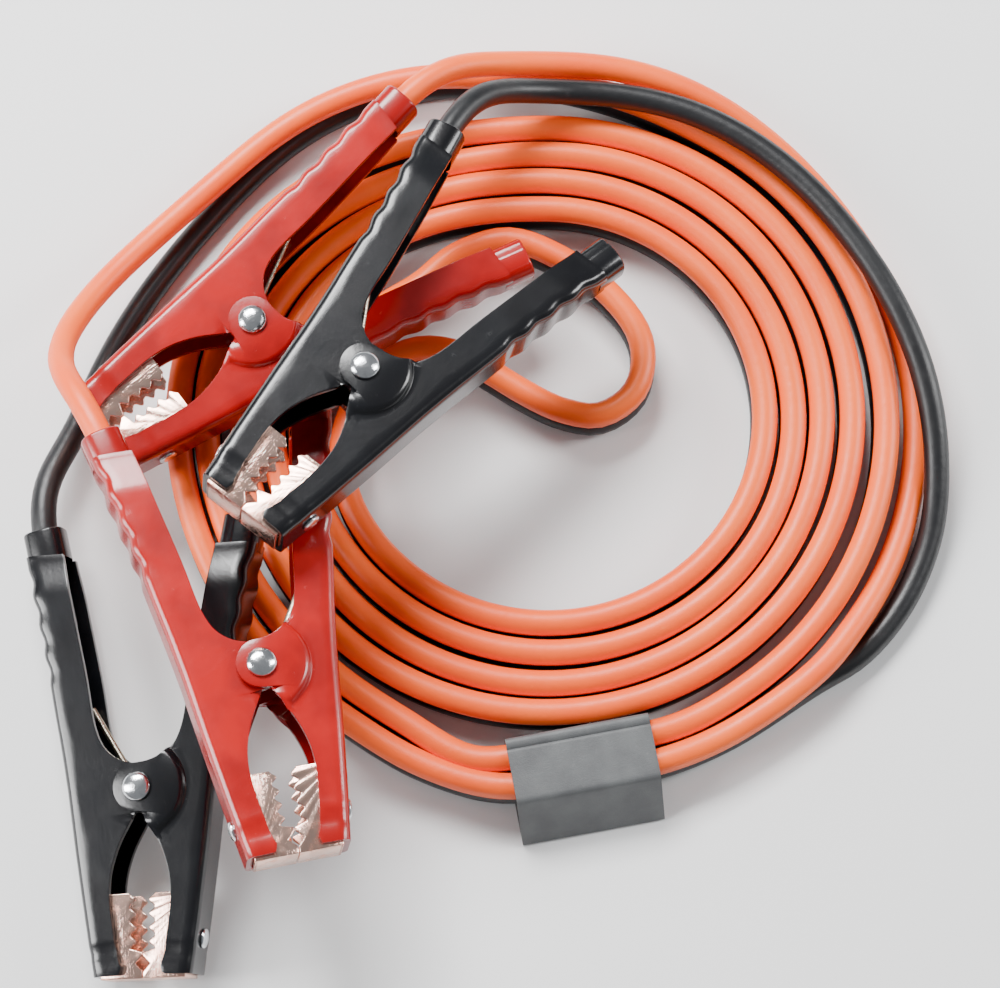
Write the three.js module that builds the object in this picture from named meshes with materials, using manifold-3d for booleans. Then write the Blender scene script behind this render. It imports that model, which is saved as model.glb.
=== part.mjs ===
// A set of car jumper cables, laid flat and coiled: a twin orange and black cable with a spring
// clamp on each of its four ends, and a plastic band that holds the outer turns together.
// Millimetres, +Z up, with the floor at z = 0 while the pieces are laid out.

import * as THREE from 'three';
import { mergeVertices } from 'three/addons/utils/BufferGeometryUtils.js';
import Module from 'manifold-3d';

const wasm = await Module();
wasm.setup();

// Driving dimensions

const TOUCH_GAP = 0.3;

const cable = { diameter: 9.2, sides: 10, step: 20 };

const coil = {
  centre: [-3, -4],
  innerCentreRadius: 78.3,
  turnPitch: 10.6,
  turns: 6,
  splitTurn: 4,
  splitGap: 2,
  layerRise: 9.3,
  segments: 40,
  freeTurnStart: -48,
  freeTurnEnd: 135,
};

const clip = { length: 51, wall: 1.4, angle: 275.3, skew: 5.3, lift: 1.5, flapReach: 13 };

const clamp = {
  jawReach: 64,
  handleReach: 94,
  thickness: 20,
  wall: 2.2,
  earRadius: 8.5,
  earStepRadius: 14.5,
  earStepWall: 2.2,
  gripWaves: 4,
  gripDepth: 1.1,
  gripStart: -38,
  gripEnd: -80,
};

const hood = { outerRadius: 7.6, length: 10 };

const pivotRivet = { shaftRadius: 2.6, headRadius: 4.9, headHeight: 2.2 };

const spring = { wireRadius: 1.15, turns: 3.5, pitch: 2.7, legReach: 30, legInset: 4 };

const jaw = {
  sheet: 1.2,
  start: 36,
  toothEnd: 55,
  toothDepth: 3.6,
  teeth: 3,
  toothTip: 1.1,
  noseOverhang: 1.2,
  notchDepth: 2.6,
};

const jawRivet = { shaftRadius: 1.7, headRadius: 3.4, headHeight: 1.2, fromTip: 12 };

// Where each clamp lies: the centre of its pivot, and its turns about Z, Y and X in degrees.
// Positive pitch lifts the jaws, and positive roll lifts the sprung half.

const clampPlaces = {
  red_a: { at: [-107.7, 21.4, 33.6], yaw: 216.9, pitch: -1.2, roll: -3.2, finish: 'red' },
  black_a: { at: [-67.4, -8, 66.9], yaw: 231.7, pitch: 8, roll: -1.4, finish: 'black' },
  red_b: { at: [-101.3, -109.3, 59], yaw: 282.9, pitch: 3.6, roll: -8.2, finish: 'red' },
  black_b: { at: [-142.5, -142.7, 20], yaw: 271.9, pitch: -3.2, roll: 11.4, finish: 'black' },
};

// Materials

function finish(color, roughness, metalness) {
  return new THREE.MeshStandardMaterial({ color, roughness, metalness });
}

const finishes = {
  red: finish(0xb0241c, 0.28, 0),
  black: finish(0x15161a, 0.3, 0),
  orangeCable: finish(0xff6a2c, 0.5, 0),
  blackCable: finish(0x26272b, 0.5, 0),
  steel: finish(0xd5d8de, 0.22, 1),
  copper: finish(0xd98a6a, 0.3, 1),
  plastic: finish(0x4b4d4f, 0.6, 0),
};

// Solid helpers

function solidOf(geometry) {
  const plain = geometry.clone();
  plain.deleteAttribute('normal');
  plain.deleteAttribute('uv');
  const merged = mergeVertices(plain, 1e-4);
  return new wasm.Manifold(new wasm.Mesh({
    numProp: 3,
    vertProperties: Float32Array.from(merged.attributes.position.array),
    triVerts: Uint32Array.from(merged.index.array),
  }));
}

function geometryOf(solid) {
  const mesh = solid.getMesh();
  const geometry = new THREE.BufferGeometry();
  geometry.setAttribute('position', new THREE.BufferAttribute(mesh.vertProperties, 3));
  geometry.setIndex(new THREE.BufferAttribute(mesh.triVerts, 1));
  geometry.computeVertexNormals();
  return geometry;
}

function shapeOf(points) {
  return new THREE.Shape(points.map(([x, y]) => new THREE.Vector2(x, y)));
}

// A plan outline given full height, centred on z = 0.
function plate(points, height) {
  const geometry = new THREE.ExtrudeGeometry(shapeOf(points), { depth: height, bevelEnabled: false });
  geometry.translate(0, 0, -height / 2);
  return solidOf(geometry);
}

// A round bar along Z, centred on z = 0.
function bar(radius, height, sides = 24) {
  const geometry = new THREE.CylinderGeometry(radius, radius, height, sides);
  geometry.rotateX(Math.PI / 2);
  return solidOf(geometry);
}

function turned(profile, sides) {
  const geometry = new THREE.LatheGeometry(profile.map(([r, z]) => new THREE.Vector2(r, z)), sides);
  geometry.rotateX(Math.PI / 2);
  return geometry;
}

function radians(degrees) {
  return THREE.MathUtils.degToRad(degrees);
}

// Clamp outline
// Each half is drawn on its own side, y > 0, with x towards the jaws and the pivot at the origin.

const outerLine = [[64, 17.5], [45, 20.5], [20, 24], [0, 26.5], [-20, 29.5], [-40, 33], [-60, 37], [-94, 44.5]];

const innerHandleLine = [[-94, 30], [-60, 23], [-40, 19], [-20, 15.5], [-11, 9], [-8, 2.4]];

const innerMouthLine = [[12, 3], [20, 8], [29, 11], [37, 11], [64, 7]];

function heightOnLine(line, x) {
  const last = line.length - 1;
  const rising = line[last][0] > line[0][0];
  const ordered = rising ? line : [...line].reverse();
  const after = Math.max(1, ordered.findIndex(([px]) => px >= x));
  const [x0, y0] = ordered[after - 1];
  const [x1, y1] = ordered[after];
  return y0 + ((y1 - y0) * (x - x0)) / (x1 - x0);
}

function outerEdge(x) {
  const base = heightOnLine(outerLine, THREE.MathUtils.clamp(x, -clamp.handleReach, clamp.jawReach));
  if (x > clamp.gripStart || x < clamp.gripEnd) {
    return base;
  }
  const phase = (x - clamp.gripStart) / (clamp.gripEnd - clamp.gripStart);
  return base - clamp.gripDepth * (1 - Math.cos(phase * clamp.gripWaves * 2 * Math.PI)) / 2;
}

function handleEndX() {
  return -clamp.handleReach + hood.length;
}

function outerEdgePoints(fromX, toX, inset = 0) {
  const plainStations = outerLine.map(([x]) => x).filter((x) => x > clamp.gripStart || x < clamp.gripEnd);
  const stations = [fromX, toX, ...plainStations];
  const gripSteps = clamp.gripWaves * 4;
  for (let i = 0; i <= gripSteps; i += 1) {
    stations.push(THREE.MathUtils.lerp(clamp.gripStart, clamp.gripEnd, i / gripSteps));
  }
  return [...new Set(stations)]
    .filter((x) => x <= fromX && x >= toX)
    .sort((a, b) => b - a)
    .map((x) => [x, outerEdge(x) - inset]);
}

// The ear that reaches over the pivot to the other half's side.
function earPoints() {
  const points = [];
  for (let angle = 195; angle <= 375; angle += 15) {
    points.push([clamp.earRadius * Math.cos(radians(angle)), clamp.earRadius * Math.sin(radians(angle))]);
  }
  return points;
}

function halfOutline() {
  const end = handleEndX();
  return [
    ...outerEdgePoints(clamp.jawReach, end),
    [end, heightOnLine(innerHandleLine, end)],
    ...innerHandleLine.filter(([x]) => x > end),
    ...earPoints(),
    ...innerMouthLine.filter(([x]) => x < clamp.jawReach),
    [clamp.jawReach, heightOnLine(innerMouthLine, clamp.jawReach)],
  ];
}

// The hollow between the two flanges, open towards the other half and at both ends.
function channelHollow() {
  const past = 10;
  const points = [
    [clamp.jawReach + past, outerEdge(clamp.jawReach) - clamp.wall],
    ...outerEdgePoints(clamp.jawReach, handleEndX(), clamp.wall),
    [handleEndX() - past, outerEdge(handleEndX()) - clamp.wall],
    [handleEndX() - past, -clamp.earRadius - past],
    [clamp.jawReach + past, -clamp.earRadius - past],
  ];
  return plate(points, clamp.thickness - 2 * clamp.wall);
}

// The formed ring at the handle's end, and its line, which follows the middle of the handle.
function hoodPlace() {
  const end = handleEndX();
  const middleY = (outerEdge(end) + heightOnLine(innerHandleLine, end)) / 2;
  const slope = (outerEdge(-60) + heightOnLine(innerHandleLine, -60)) / 2 - middleY;
  const direction = new THREE.Vector3(end + 60, -slope, 0).normalize();
  return { start: new THREE.Vector3(end, middleY, 0), direction };
}

function hoodBore() {
  return cable.diameter / 2 + TOUCH_GAP;
}

function alongHood(geometry, offset) {
  const { start, direction } = hoodPlace();
  const turn = new THREE.Quaternion().setFromUnitVectors(new THREE.Vector3(0, 0, 1), direction);
  const centre = start.clone().addScaledVector(direction, offset);
  geometry.applyMatrix4(new THREE.Matrix4().compose(centre, turn, new THREE.Vector3(1, 1, 1)));
  return solidOf(geometry);
}

function roundAlongZ(radius, length) {
  const geometry = new THREE.CylinderGeometry(radius, radius, length, 12);
  geometry.rotateX(Math.PI / 2);
  return geometry;
}

function addHood(half) {
  const root = 3;
  const length = hood.length + root;
  const ring = alongHood(roundAlongZ(hood.outerRadius, length), length / 2 - root);
  const bore = alongHood(roundAlongZ(hoodBore(), length * 3), 0);
  return half.add(ring).subtract(bore);
}

function jawRivetX() {
  return clamp.jawReach - jawRivet.fromTip;
}

// A turn that lays the Z axis square to the outer edge at the jaw rivet.
function jawRivetMatrix() {
  const x = jawRivetX();
  const slope = outerEdge(x + 1) - outerEdge(x - 1);
  const normal = new THREE.Vector3(-slope, 2, 0).normalize();
  const turn = new THREE.Quaternion().setFromUnitVectors(new THREE.Vector3(0, 0, 1), normal);
  return new THREE.Matrix4().compose(new THREE.Vector3(x, outerEdge(x), 0), turn, new THREE.Vector3(1, 1, 1));
}

function jawRivetHole() {
  const geometry = roundAlongZ(jawRivet.shaftRadius + TOUCH_GAP, 4 * clamp.wall);
  geometry.translate(0, 0, -clamp.wall);
  geometry.applyMatrix4(jawRivetMatrix());
  return solidOf(geometry);
}

function cableHalf() {
  const body = plate(halfOutline(), clamp.thickness).subtract(channelHollow());
  return addHood(body)
    .subtract(bar(pivotRivet.shaftRadius + TOUCH_GAP, 2 * clamp.thickness))
    .subtract(jawRivetHole());
}

function earOuterHeight() {
  return clamp.thickness + 2 * (TOUCH_GAP + clamp.wall);
}

// The sprung half has its ears stepped outwards, so that they lie over the other half's flanges.
function sprungHalf() {
  const stepOuter = clamp.earStepRadius + clamp.earStepWall;
  const body = plate(halfOutline(), clamp.thickness).subtract(bar(clamp.earStepRadius, 2 * clamp.thickness));
  const ears = plate(halfOutline(), earOuterHeight())
    .intersect(bar(stepOuter, 2 * clamp.thickness))
    .subtract(bar(clamp.earStepRadius, clamp.thickness + 2 * TOUCH_GAP));
  return addHood(body.add(ears).subtract(channelHollow()))
    .subtract(bar(pivotRivet.shaftRadius + TOUCH_GAP, 2 * clamp.thickness))
    .subtract(jawRivetHole());
}

// Copper jaw: a bent sheet inside the channel, with teeth towards the other jaw and a notched nose.
function jawOutline() {
  const tip = clamp.jawReach + jaw.noseOverhang;
  const back = (x) => outerEdge(x) - clamp.wall - TOUCH_GAP;
  const meet = TOUCH_GAP / 2;
  const notchX = (jaw.toothEnd + tip) / 2;
  const pitch = (jaw.toothEnd - jaw.start) / jaw.teeth;
  const teeth = [];
  for (let i = 0; i < jaw.teeth; i += 1) {
    const x = jaw.start + i * pitch;
    teeth.push([x, jaw.toothTip + jaw.toothDepth]);
    teeth.push([x + pitch * 0.35, jaw.toothTip]);
    teeth.push([x + pitch * 0.65, jaw.toothTip]);
  }
  return [
    [jaw.start, back(jaw.start)],
    ...teeth,
    [jaw.toothEnd, jaw.toothTip + jaw.toothDepth],
    [jaw.toothEnd + 1, meet],
    [notchX - jaw.notchDepth, meet],
    [notchX, meet + jaw.notchDepth],
    [notchX + jaw.notchDepth, meet],
    [tip, meet],
    [tip, back(clamp.jawReach)],
  ];
}

function copperJaw() {
  const height = clamp.thickness - 2 * clamp.wall - 2 * TOUCH_GAP;
  const past = 5;
  const back = (x) => outerEdge(x) - clamp.wall - TOUCH_GAP - jaw.sheet;
  const hollow = [
    [jaw.start - past, back(jaw.start - past)],
    [jaw.start - past, -past],
    [jaw.toothEnd + 1, -past],
    [jaw.toothEnd + 1, back(jaw.toothEnd + 1)],
  ];
  const noseHollow = [
    [jaw.toothEnd, back(jaw.toothEnd)],
    [jaw.toothEnd, -past],
    [clamp.jawReach - jaw.sheet, -past],
    [clamp.jawReach - jaw.sheet, back(clamp.jawReach - jaw.sheet)],
  ];
  return plate(jawOutline().reverse(), height)
    .subtract(plate(hollow, height - 2 * jaw.sheet))
    .subtract(plate(noseHollow, height - 2 * jaw.sheet))
    .subtract(jawRivetHole());
}

function pivotRivetGeometry() {
  const { shaftRadius, headRadius, headHeight } = pivotRivet;
  const seat = earOuterHeight() / 2 + TOUCH_GAP;
  const dome = (sign) => [0, 45, 90].map((angle) => [
    headRadius * Math.cos(radians(angle)),
    sign * (seat + 0.4 + (headHeight - 0.4) * Math.sin(radians(angle))),
  ]);
  const top = dome(1);
  const bottom = dome(-1).reverse();
  top[2][0] = 0;
  bottom[0][0] = 0;
  return turned([
    ...bottom,
    [headRadius, -seat],
    [shaftRadius, -seat],
    [shaftRadius, seat],
    [headRadius, seat],
    ...top,
  ], 12);
}

function jawRivetGeometry() {
  const { shaftRadius, headRadius, headHeight } = jawRivet;
  const inner = -clamp.wall - TOUCH_GAP - jaw.sheet - TOUCH_GAP;
  const outer = TOUCH_GAP;
  const geometry = turned([
    [0, inner - headHeight],
    [headRadius * 0.7, inner - headHeight],
    [headRadius, inner],
    [shaftRadius, inner],
    [shaftRadius, outer],
    [headRadius, outer],
    [headRadius * 0.7, outer + headHeight],
    [0, outer + headHeight],
  ], 10);
  geometry.applyMatrix4(jawRivetMatrix());
  return geometry;
}

// Torsion spring: a helix close round the pivot, with a leg along each handle.
class SpringLine extends THREE.Curve {
  constructor() {
    super();
    const { wireRadius, turns, pitch, legReach, legInset } = spring;
    const coilRadius = pivotRivet.shaftRadius + TOUCH_GAP + wireRadius;
    const halfHeight = (turns * pitch) / 2;
    const legSide = heightOnLine(innerHandleLine, -legReach) + legInset;
    const steps = turns * 10;
    const points = [new THREE.Vector3(-legReach, -legSide, -halfHeight)];
    for (let i = 0; i <= steps; i += 1) {
      const angle = -Math.PI / 2 + (i / steps) * 2 * Math.PI * turns;
      const z = THREE.MathUtils.lerp(-halfHeight, halfHeight, i / steps);
      points.push(new THREE.Vector3(coilRadius * Math.cos(angle), coilRadius * Math.sin(angle), z));
    }
    points.push(new THREE.Vector3(-legReach, legSide, halfHeight));
    this.line = new THREE.CatmullRomCurve3(points, false, 'centripetal');
  }

  getPoint(t, target) {
    return this.line.getPoint(t, target);
  }
}

function sweep(curve, radius, sides, steps) {
  const section = new THREE.Shape();
  for (let i = 0; i < sides; i += 1) {
    const angle = (i / sides) * 2 * Math.PI;
    const point = [radius * Math.cos(angle), radius * Math.sin(angle)];
    if (i === 0) {
      section.moveTo(...point);
    } else {
      section.lineTo(...point);
    }
  }
  section.closePath();
  return new THREE.ExtrudeGeometry(section, { steps, bevelEnabled: false, extrudePath: curve });
}

// One clamp: the cable half lies on the right-hand side as one looks towards the jaws.
function makeClamp(name, place) {
  const group = new THREE.Group();
  const coating = finishes[place.finish];
  const add = (part, geometry, material, mirrored) => {
    if (mirrored) {
      geometry.rotateX(Math.PI);
    }
    const mesh = new THREE.Mesh(geometry, material);
    mesh.name = `${name}_${part}`;
    group.add(mesh);
  };
  add('cable_half', geometryOf(cableHalf()), coating, true);
  add('sprung_half', geometryOf(sprungHalf()), coating, false);
  add('pivot_rivet', pivotRivetGeometry(), finishes.steel, false);
  add('spring', sweep(new SpringLine(), spring.wireRadius, 5, 40), finishes.steel, false);
  add('cable_jaw', geometryOf(copperJaw()), finishes.copper, true);
  add('sprung_jaw', geometryOf(copperJaw()), finishes.copper, false);
  add('cable_jaw_rivet', jawRivetGeometry(), finishes.steel, true);
  add('sprung_jaw_rivet', jawRivetGeometry(), finishes.steel, false);
  group.rotation.order = 'ZYX';
  group.rotation.set(radians(place.roll), radians(-place.pitch), radians(place.yaw));
  group.position.set(...place.at);
  group.updateMatrixWorld(true);
  return group;
}

// The last points of a cable at its clamp: a straight run up to the mouth of the hood.
function entryPoints(group) {
  const { start, direction } = hoodPlace();
  const mouth = hood.length + TOUCH_GAP;
  return [mouth + 2 * cable.diameter, mouth + cable.diameter, mouth].map((distance) => {
    const point = start.clone().addScaledVector(direction, distance);
    point.y = -point.y;
    return point.applyMatrix4(group.matrixWorld);
  });
}

// Coil
// Each turn is the orange cable on top of the black one, and the turns lie side by side.

function turnRadius(index) {
  const split = index >= coil.splitTurn ? coil.splitGap : 0;
  return coil.innerCentreRadius + index * coil.turnPitch + split;
}

function coilHeight() {
  return coil.layerRise + cable.diameter;
}

function coilProfile() {
  const r = cable.diameter / 2;
  const top = coilHeight();
  const shoulder = top - r;
  const first = turnRadius(0);
  const last = turnRadius(coil.turns - 1);
  const profile = [[first - r * 0.6, 0], [last + r * 0.6, 0], [last + r, r], [last + r, shoulder]];
  for (let i = coil.turns - 1; i >= 0; i -= 1) {
    const centre = turnRadius(i);
    profile.push([centre + r * 0.7, top - r * 0.3]);
    profile.push([centre, top]);
    profile.push([centre - r * 0.7, top - r * 0.3]);
    if (i > 0) {
      const valley = (centre + turnRadius(i - 1)) / 2;
      profile.push([valley, shoulder + r * 0.3]);
    }
  }
  profile.push([first - r, shoulder], [first - r, r], [first - r * 0.6, 0]);
  return profile;
}

// The stretch of the outermost turn that the first lead leaves empty as it climbs onto the coil.
function freeTurnSector() {
  const inner = turnRadius(coil.turns - 1) - cable.diameter / 2 - TOUCH_GAP;
  const outer = inner + 2 * cable.diameter;
  const steps = 24;
  const points = [];
  for (let i = 0; i <= steps; i += 1) {
    const angle = radians(THREE.MathUtils.lerp(coil.freeTurnStart, coil.freeTurnEnd, i / steps));
    points.push([inner * Math.cos(angle), inner * Math.sin(angle)]);
  }
  for (let i = steps; i >= 0; i -= 1) {
    const angle = radians(THREE.MathUtils.lerp(coil.freeTurnStart, coil.freeTurnEnd, i / steps));
    points.push([outer * Math.cos(angle), outer * Math.sin(angle)]);
  }
  return plate(points, 4 * coilHeight());
}

function coilSolid() {
  return solidOf(turned(coilProfile(), coil.segments))
    .subtract(freeTurnSector())
    .translate([...coil.centre, 0])
    .subtract(solidOf(clipGeometry(TOUCH_GAP)));
}

// Clip: a flat plastic band round the two outer turns, with a slanted outer flap.
function clipGeometry(grow) {
  const { wall, length, lift, flapReach } = clip;
  const legOuter = turnRadius(coil.splitTurn) - cable.diameter / 2 - TOUCH_GAP - wall;
  const flapTop = turnRadius(coil.turns - 1) + cable.diameter / 2 + TOUCH_GAP + wall;
  const top = coilHeight() + lift + TOUCH_GAP + wall;
  const outline = shapeOf([
    [legOuter - grow, -grow],
    [flapTop + flapReach + 2 * grow, -grow],
    [flapTop + 2 * grow, top + grow],
    [legOuter - grow, top + grow],
  ]);
  const hole = new THREE.Path([
    [legOuter + wall + grow, wall + grow],
    [legOuter + wall + grow, top - wall - grow],
    [flapTop - wall - grow, top - wall - grow],
    [flapTop + flapReach - 2 * wall - 2 * grow, wall + grow],
  ].map(([x, y]) => new THREE.Vector2(x, y)));
  outline.holes.push(hole);
  const geometry = new THREE.ExtrudeGeometry(outline, { depth: length + 2 * grow, bevelEnabled: false });
  geometry.translate(0, 0, -length / 2 - grow);
  geometry.rotateX(Math.PI / 2);
  const middle = (legOuter + flapTop) / 2;
  geometry.translate(-middle, 0, 0);
  geometry.rotateZ(radians(clip.skew));
  geometry.translate(middle, 0, 0);
  geometry.rotateZ(radians(clip.angle));
  geometry.translate(...coil.centre, 0);
  return geometry;
}

// Free cables
// Each lead starts at the coil and ends at its clamp. Its points are an angle round the coil's
// centre in degrees, a radius and a height.

const leadRoutes = {
  orange_lead_a: {
    clamp: 'red_a',
    points: [[-46, 134.4, 14], [-38, 134.4, 12.5], [-25, 134.4, 8], [-12, 134.4, 5], [0, 134.4, 4.7],
      [12, 134.4, 4.7], [25, 134.4, 4.7], [40, 134.6, 5.2], [52, 135.4, 8.5], [64, 135.6, 14.5],
      [76, 134.4, 20], [88, 132, 23.4], [98, 131, 26.5]],
  },
  black_lead_a: {
    clamp: 'black_a',
    points: [[-46, 136, 4.7], [-38, 141.6, 4.7], [-28, 144.6, 4.8], [-17, 144.6, 7], [-6, 141, 13],
      [5, 136.6, 19], [15, 132.5, 22.8], [26, 129, 24.3], [45, 126.6, 24.3], [64, 125, 24.3],
      [80, 121.2, 25.2], [92, 118, 29]],
  },
  orange_lead_b: {
    clamp: 'red_b',
    points: [[101, 132.8, 14], [112.7, 139.8, 14], [128.3, 146.6, 14], [147.5, 152, 14.5],
      [160, 163, 19], [169, 172, 29], [177, 175.5, 42]],
  },
  black_lead_b: {
    clamp: 'black_b',
    points: [[101, 132.8, 4.7], [113, 138.5, 4.7], [128.5, 144, 4.7], [147.5, 146.5, 4.7], [163, 155, 4.7],
      [176, 166, 4.9], [184, 172, 10]],
  },
};

// The folded middle of the cable, from the coil's inside back to it, as x, y and height.

const bightPlan = [[-49, 45], [-36, 56], [-17, 62], [2, 55], [19, 42], [30, 27], [32, 15],
  [28, 3], [16, -5], [2, -3], [-12, 4], [-23, 11], [-37, 19], [-50, 20], [-61, 15], [-67, 8]];

const bightHeights = { orange_bight: 14, black_bight: 4.7 };

function coilPoint([angle, radius, z]) {
  const [cx, cy] = coil.centre;
  return new THREE.Vector3(
    cx + radius * Math.cos(radians(angle)),
    cy + radius * Math.sin(radians(angle)),
    z,
  );
}

function cableMesh(name, points) {
  const curve = new THREE.CatmullRomCurve3(points, false, 'centripetal');
  const steps = Math.ceil(curve.getLength() / cable.step);
  const material = name.startsWith('orange') ? finishes.orangeCable : finishes.blackCable;
  const mesh = new THREE.Mesh(sweep(curve, cable.diameter / 2, cable.sides, steps), material);
  mesh.name = name;
  return mesh;
}

// Assembly
// The finished group stands on its own origin, at the middle of the clamps and the clip.

function assemble() {
  const group = new THREE.Group();
  const clamps = {};
  for (const [name, place] of Object.entries(clampPlaces)) {
    clamps[name] = makeClamp(name, place);
    group.add(clamps[name]);
  }
  const clipMesh = new THREE.Mesh(clipGeometry(0), finishes.plastic);
  clipMesh.name = 'clip';
  group.add(clipMesh);
  const box = new THREE.Box3().setFromObject(group, true);
  const coilMesh = new THREE.Mesh(geometryOf(coilSolid()), finishes.orangeCable);
  coilMesh.name = 'coil';
  group.add(coilMesh);
  for (const [name, route] of Object.entries(leadRoutes)) {
    const entry = entryPoints(clamps[route.clamp]);
    group.add(cableMesh(name, [...route.points.map(coilPoint), ...entry]));
  }
  for (const [name, height] of Object.entries(bightHeights)) {
    group.add(cableMesh(name, bightPlan.map(([x, y]) => new THREE.Vector3(x, y, height))));
  }
  const centre = box.getCenter(new THREE.Vector3());
  group.position.set(-centre.x, -centre.y, -box.min.z);
  return group;
}

const group = assemble();

export default group;
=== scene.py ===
"""A laid-out set of car jumper cables, dressed over its CAD frame.

Sizes are in millimetres in the frame that the part's source lays out, with the floor at z = 0.
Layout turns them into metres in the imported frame.
"""

from __future__ import annotations

import logging
import math
from dataclasses import dataclass
from enum import Enum
from typing import Mapping, Sequence

import bmesh
import bpy
from mathutils import Matrix, Vector

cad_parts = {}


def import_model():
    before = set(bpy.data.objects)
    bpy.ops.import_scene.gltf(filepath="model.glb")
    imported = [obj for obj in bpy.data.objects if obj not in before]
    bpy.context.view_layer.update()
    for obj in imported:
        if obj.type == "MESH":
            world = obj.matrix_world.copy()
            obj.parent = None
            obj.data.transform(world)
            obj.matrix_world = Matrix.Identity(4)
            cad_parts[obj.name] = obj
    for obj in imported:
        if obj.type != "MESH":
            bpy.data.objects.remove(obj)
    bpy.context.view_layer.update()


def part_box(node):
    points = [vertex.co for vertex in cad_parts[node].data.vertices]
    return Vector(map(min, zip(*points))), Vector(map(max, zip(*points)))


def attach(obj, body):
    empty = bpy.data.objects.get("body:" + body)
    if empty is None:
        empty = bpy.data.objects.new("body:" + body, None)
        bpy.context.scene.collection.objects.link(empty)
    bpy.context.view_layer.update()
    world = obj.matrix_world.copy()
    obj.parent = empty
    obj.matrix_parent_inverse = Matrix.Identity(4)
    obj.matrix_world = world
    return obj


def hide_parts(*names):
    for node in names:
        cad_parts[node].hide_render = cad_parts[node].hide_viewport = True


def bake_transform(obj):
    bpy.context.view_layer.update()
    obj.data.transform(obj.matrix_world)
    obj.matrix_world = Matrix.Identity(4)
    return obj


LOG = logging.getLogger("jumper_cables")

MM = 0.001

Plan = tuple[float, float]
Line = Sequence[Plan]
Colour = tuple[float, float, float]
Step = tuple[str, Mapping[str, object]]


# Numbers and lines


def mix(start: float, end: float, share: float) -> float:
    """Returns the value that lies that share of the way from start to end."""
    return start + (end - start) * share


def eased(share: float) -> float:
    """Returns share held to 0..1 and eased at both ends."""
    held = min(1.0, max(0.0, share))
    return held * held * (3 - 2 * held)


def divided(start: float, end: float, steps: int) -> list[float]:
    """Returns the values from start to end in even steps, with both ends."""
    return [mix(start, end, i / steps) for i in range(steps + 1)]


def hump(x: float, middle: float, width: float) -> float:
    """Returns a smooth hump that is 1 at its middle and nearly 0 from twice its width on."""
    return math.exp(-(((x - middle) / width) ** 2))


def height_on_line(line: Line, x: float) -> float:
    """Reads a plan line at one place.

    Args:
        line: Points whose x runs steadily one way.
        x: The place along it.

    Returns:
        The line's y there, along its first or last stretch beyond its ends.
    """
    ordered = sorted(line)
    after = next((i for i in range(1, len(ordered)) if ordered[i][0] >= x), len(ordered) - 1)
    (x0, y0), (x1, y1) = ordered[after - 1], ordered[after]
    return mix(y0, y1, (x - x0) / (x1 - x0))


def smooth_through(points: Sequence[Vector], per_span: int) -> list[Vector]:
    """Draws a centripetal Catmull-Rom line through points.

    Args:
        points: The points that the line passes through.
        per_span: How many steps each span between two points gets.

    Returns:
        The finer points, from the first given point to the last.
    """
    ends = [2 * points[0] - points[1], *points, 2 * points[-1] - points[-2]]
    fine: list[Vector] = []
    for i in range(1, len(ends) - 2):
        p0, p1, p2, p3 = ends[i - 1 : i + 3]
        t1 = (p1 - p0).length ** 0.5
        t2 = t1 + (p2 - p1).length ** 0.5
        t3 = t2 + (p3 - p2).length ** 0.5
        for step in range(per_span):
            t = mix(t1, t2, step / per_span)
            a1 = p0.lerp(p1, t / t1)
            a2 = p1.lerp(p2, (t - t1) / (t2 - t1))
            a3 = p2.lerp(p3, (t - t2) / (t3 - t2))
            b1 = a1.lerp(a2, t / t2)
            b2 = a2.lerp(a3, (t - t1) / (t3 - t1))
            fine.append(b1.lerp(b2, (t - t1) / (t2 - t1)))
    return [*fine, points[-1].copy()]


def line_length(points: Sequence[Vector]) -> float:
    """Returns the length of a line through points."""
    return sum((b - a).length for a, b in zip(points, points[1:]))


def spaced(points: Sequence[Vector], count: int) -> list[Vector]:
    """Picks evenly spaced points on a line.

    Args:
        points: A fine line.
        count: How many steps the new line has.

    Returns:
        count + 1 points from the line's start to its end.
    """
    total = line_length(points)
    picked = [points[0].copy()]
    walked, target = 0.0, total / count
    for a, b in zip(points, points[1:]):
        reach = (b - a).length
        while reach > 0 and walked + reach >= target and len(picked) < count:
            picked.append(a.lerp(b, (target - walked) / reach))
            target += total / count
        walked += reach
    return [*picked, points[-1].copy()]


def plan_vectors(line: Line) -> list[Vector]:
    """Returns plan points as vectors at height 0."""
    return [Vector((x, y, 0)) for x, y in line]


# Meshes


def mesh_of(name: str, points: Sequence[Vector], faces: Sequence[Sequence[int]]) -> bpy.types.Mesh:
    """Makes a mesh from millimetre points.

    Args:
        name: The mesh's name.
        points: Its vertices in millimetres.
        faces: Its faces, as indices into points.

    Returns:
        The mesh in metres, with its faces turned outwards and smooth.
    """
    mesh = bpy.data.meshes.new(name)
    mesh.from_pydata([tuple(p * MM) for p in points], [], [tuple(f) for f in faces])
    work = bmesh.new()
    work.from_mesh(mesh)
    bmesh.ops.recalc_face_normals(work, faces=work.faces)
    work.to_mesh(mesh)
    work.free()
    mesh.shade_smooth()
    return mesh


def joined(name: str, meshes: Sequence[bpy.types.Mesh]) -> bpy.types.Mesh:
    """Puts several meshes together.

    Args:
        name: The new mesh's name.
        meshes: The meshes to put together, which are removed.

    Returns:
        One mesh that holds them all.
    """
    work = bmesh.new()
    for mesh in meshes:
        work.from_mesh(mesh)
    result = bpy.data.meshes.new(name)
    work.to_mesh(result)
    work.free()
    for mesh in meshes:
        bpy.data.meshes.remove(mesh)
    return result


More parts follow.
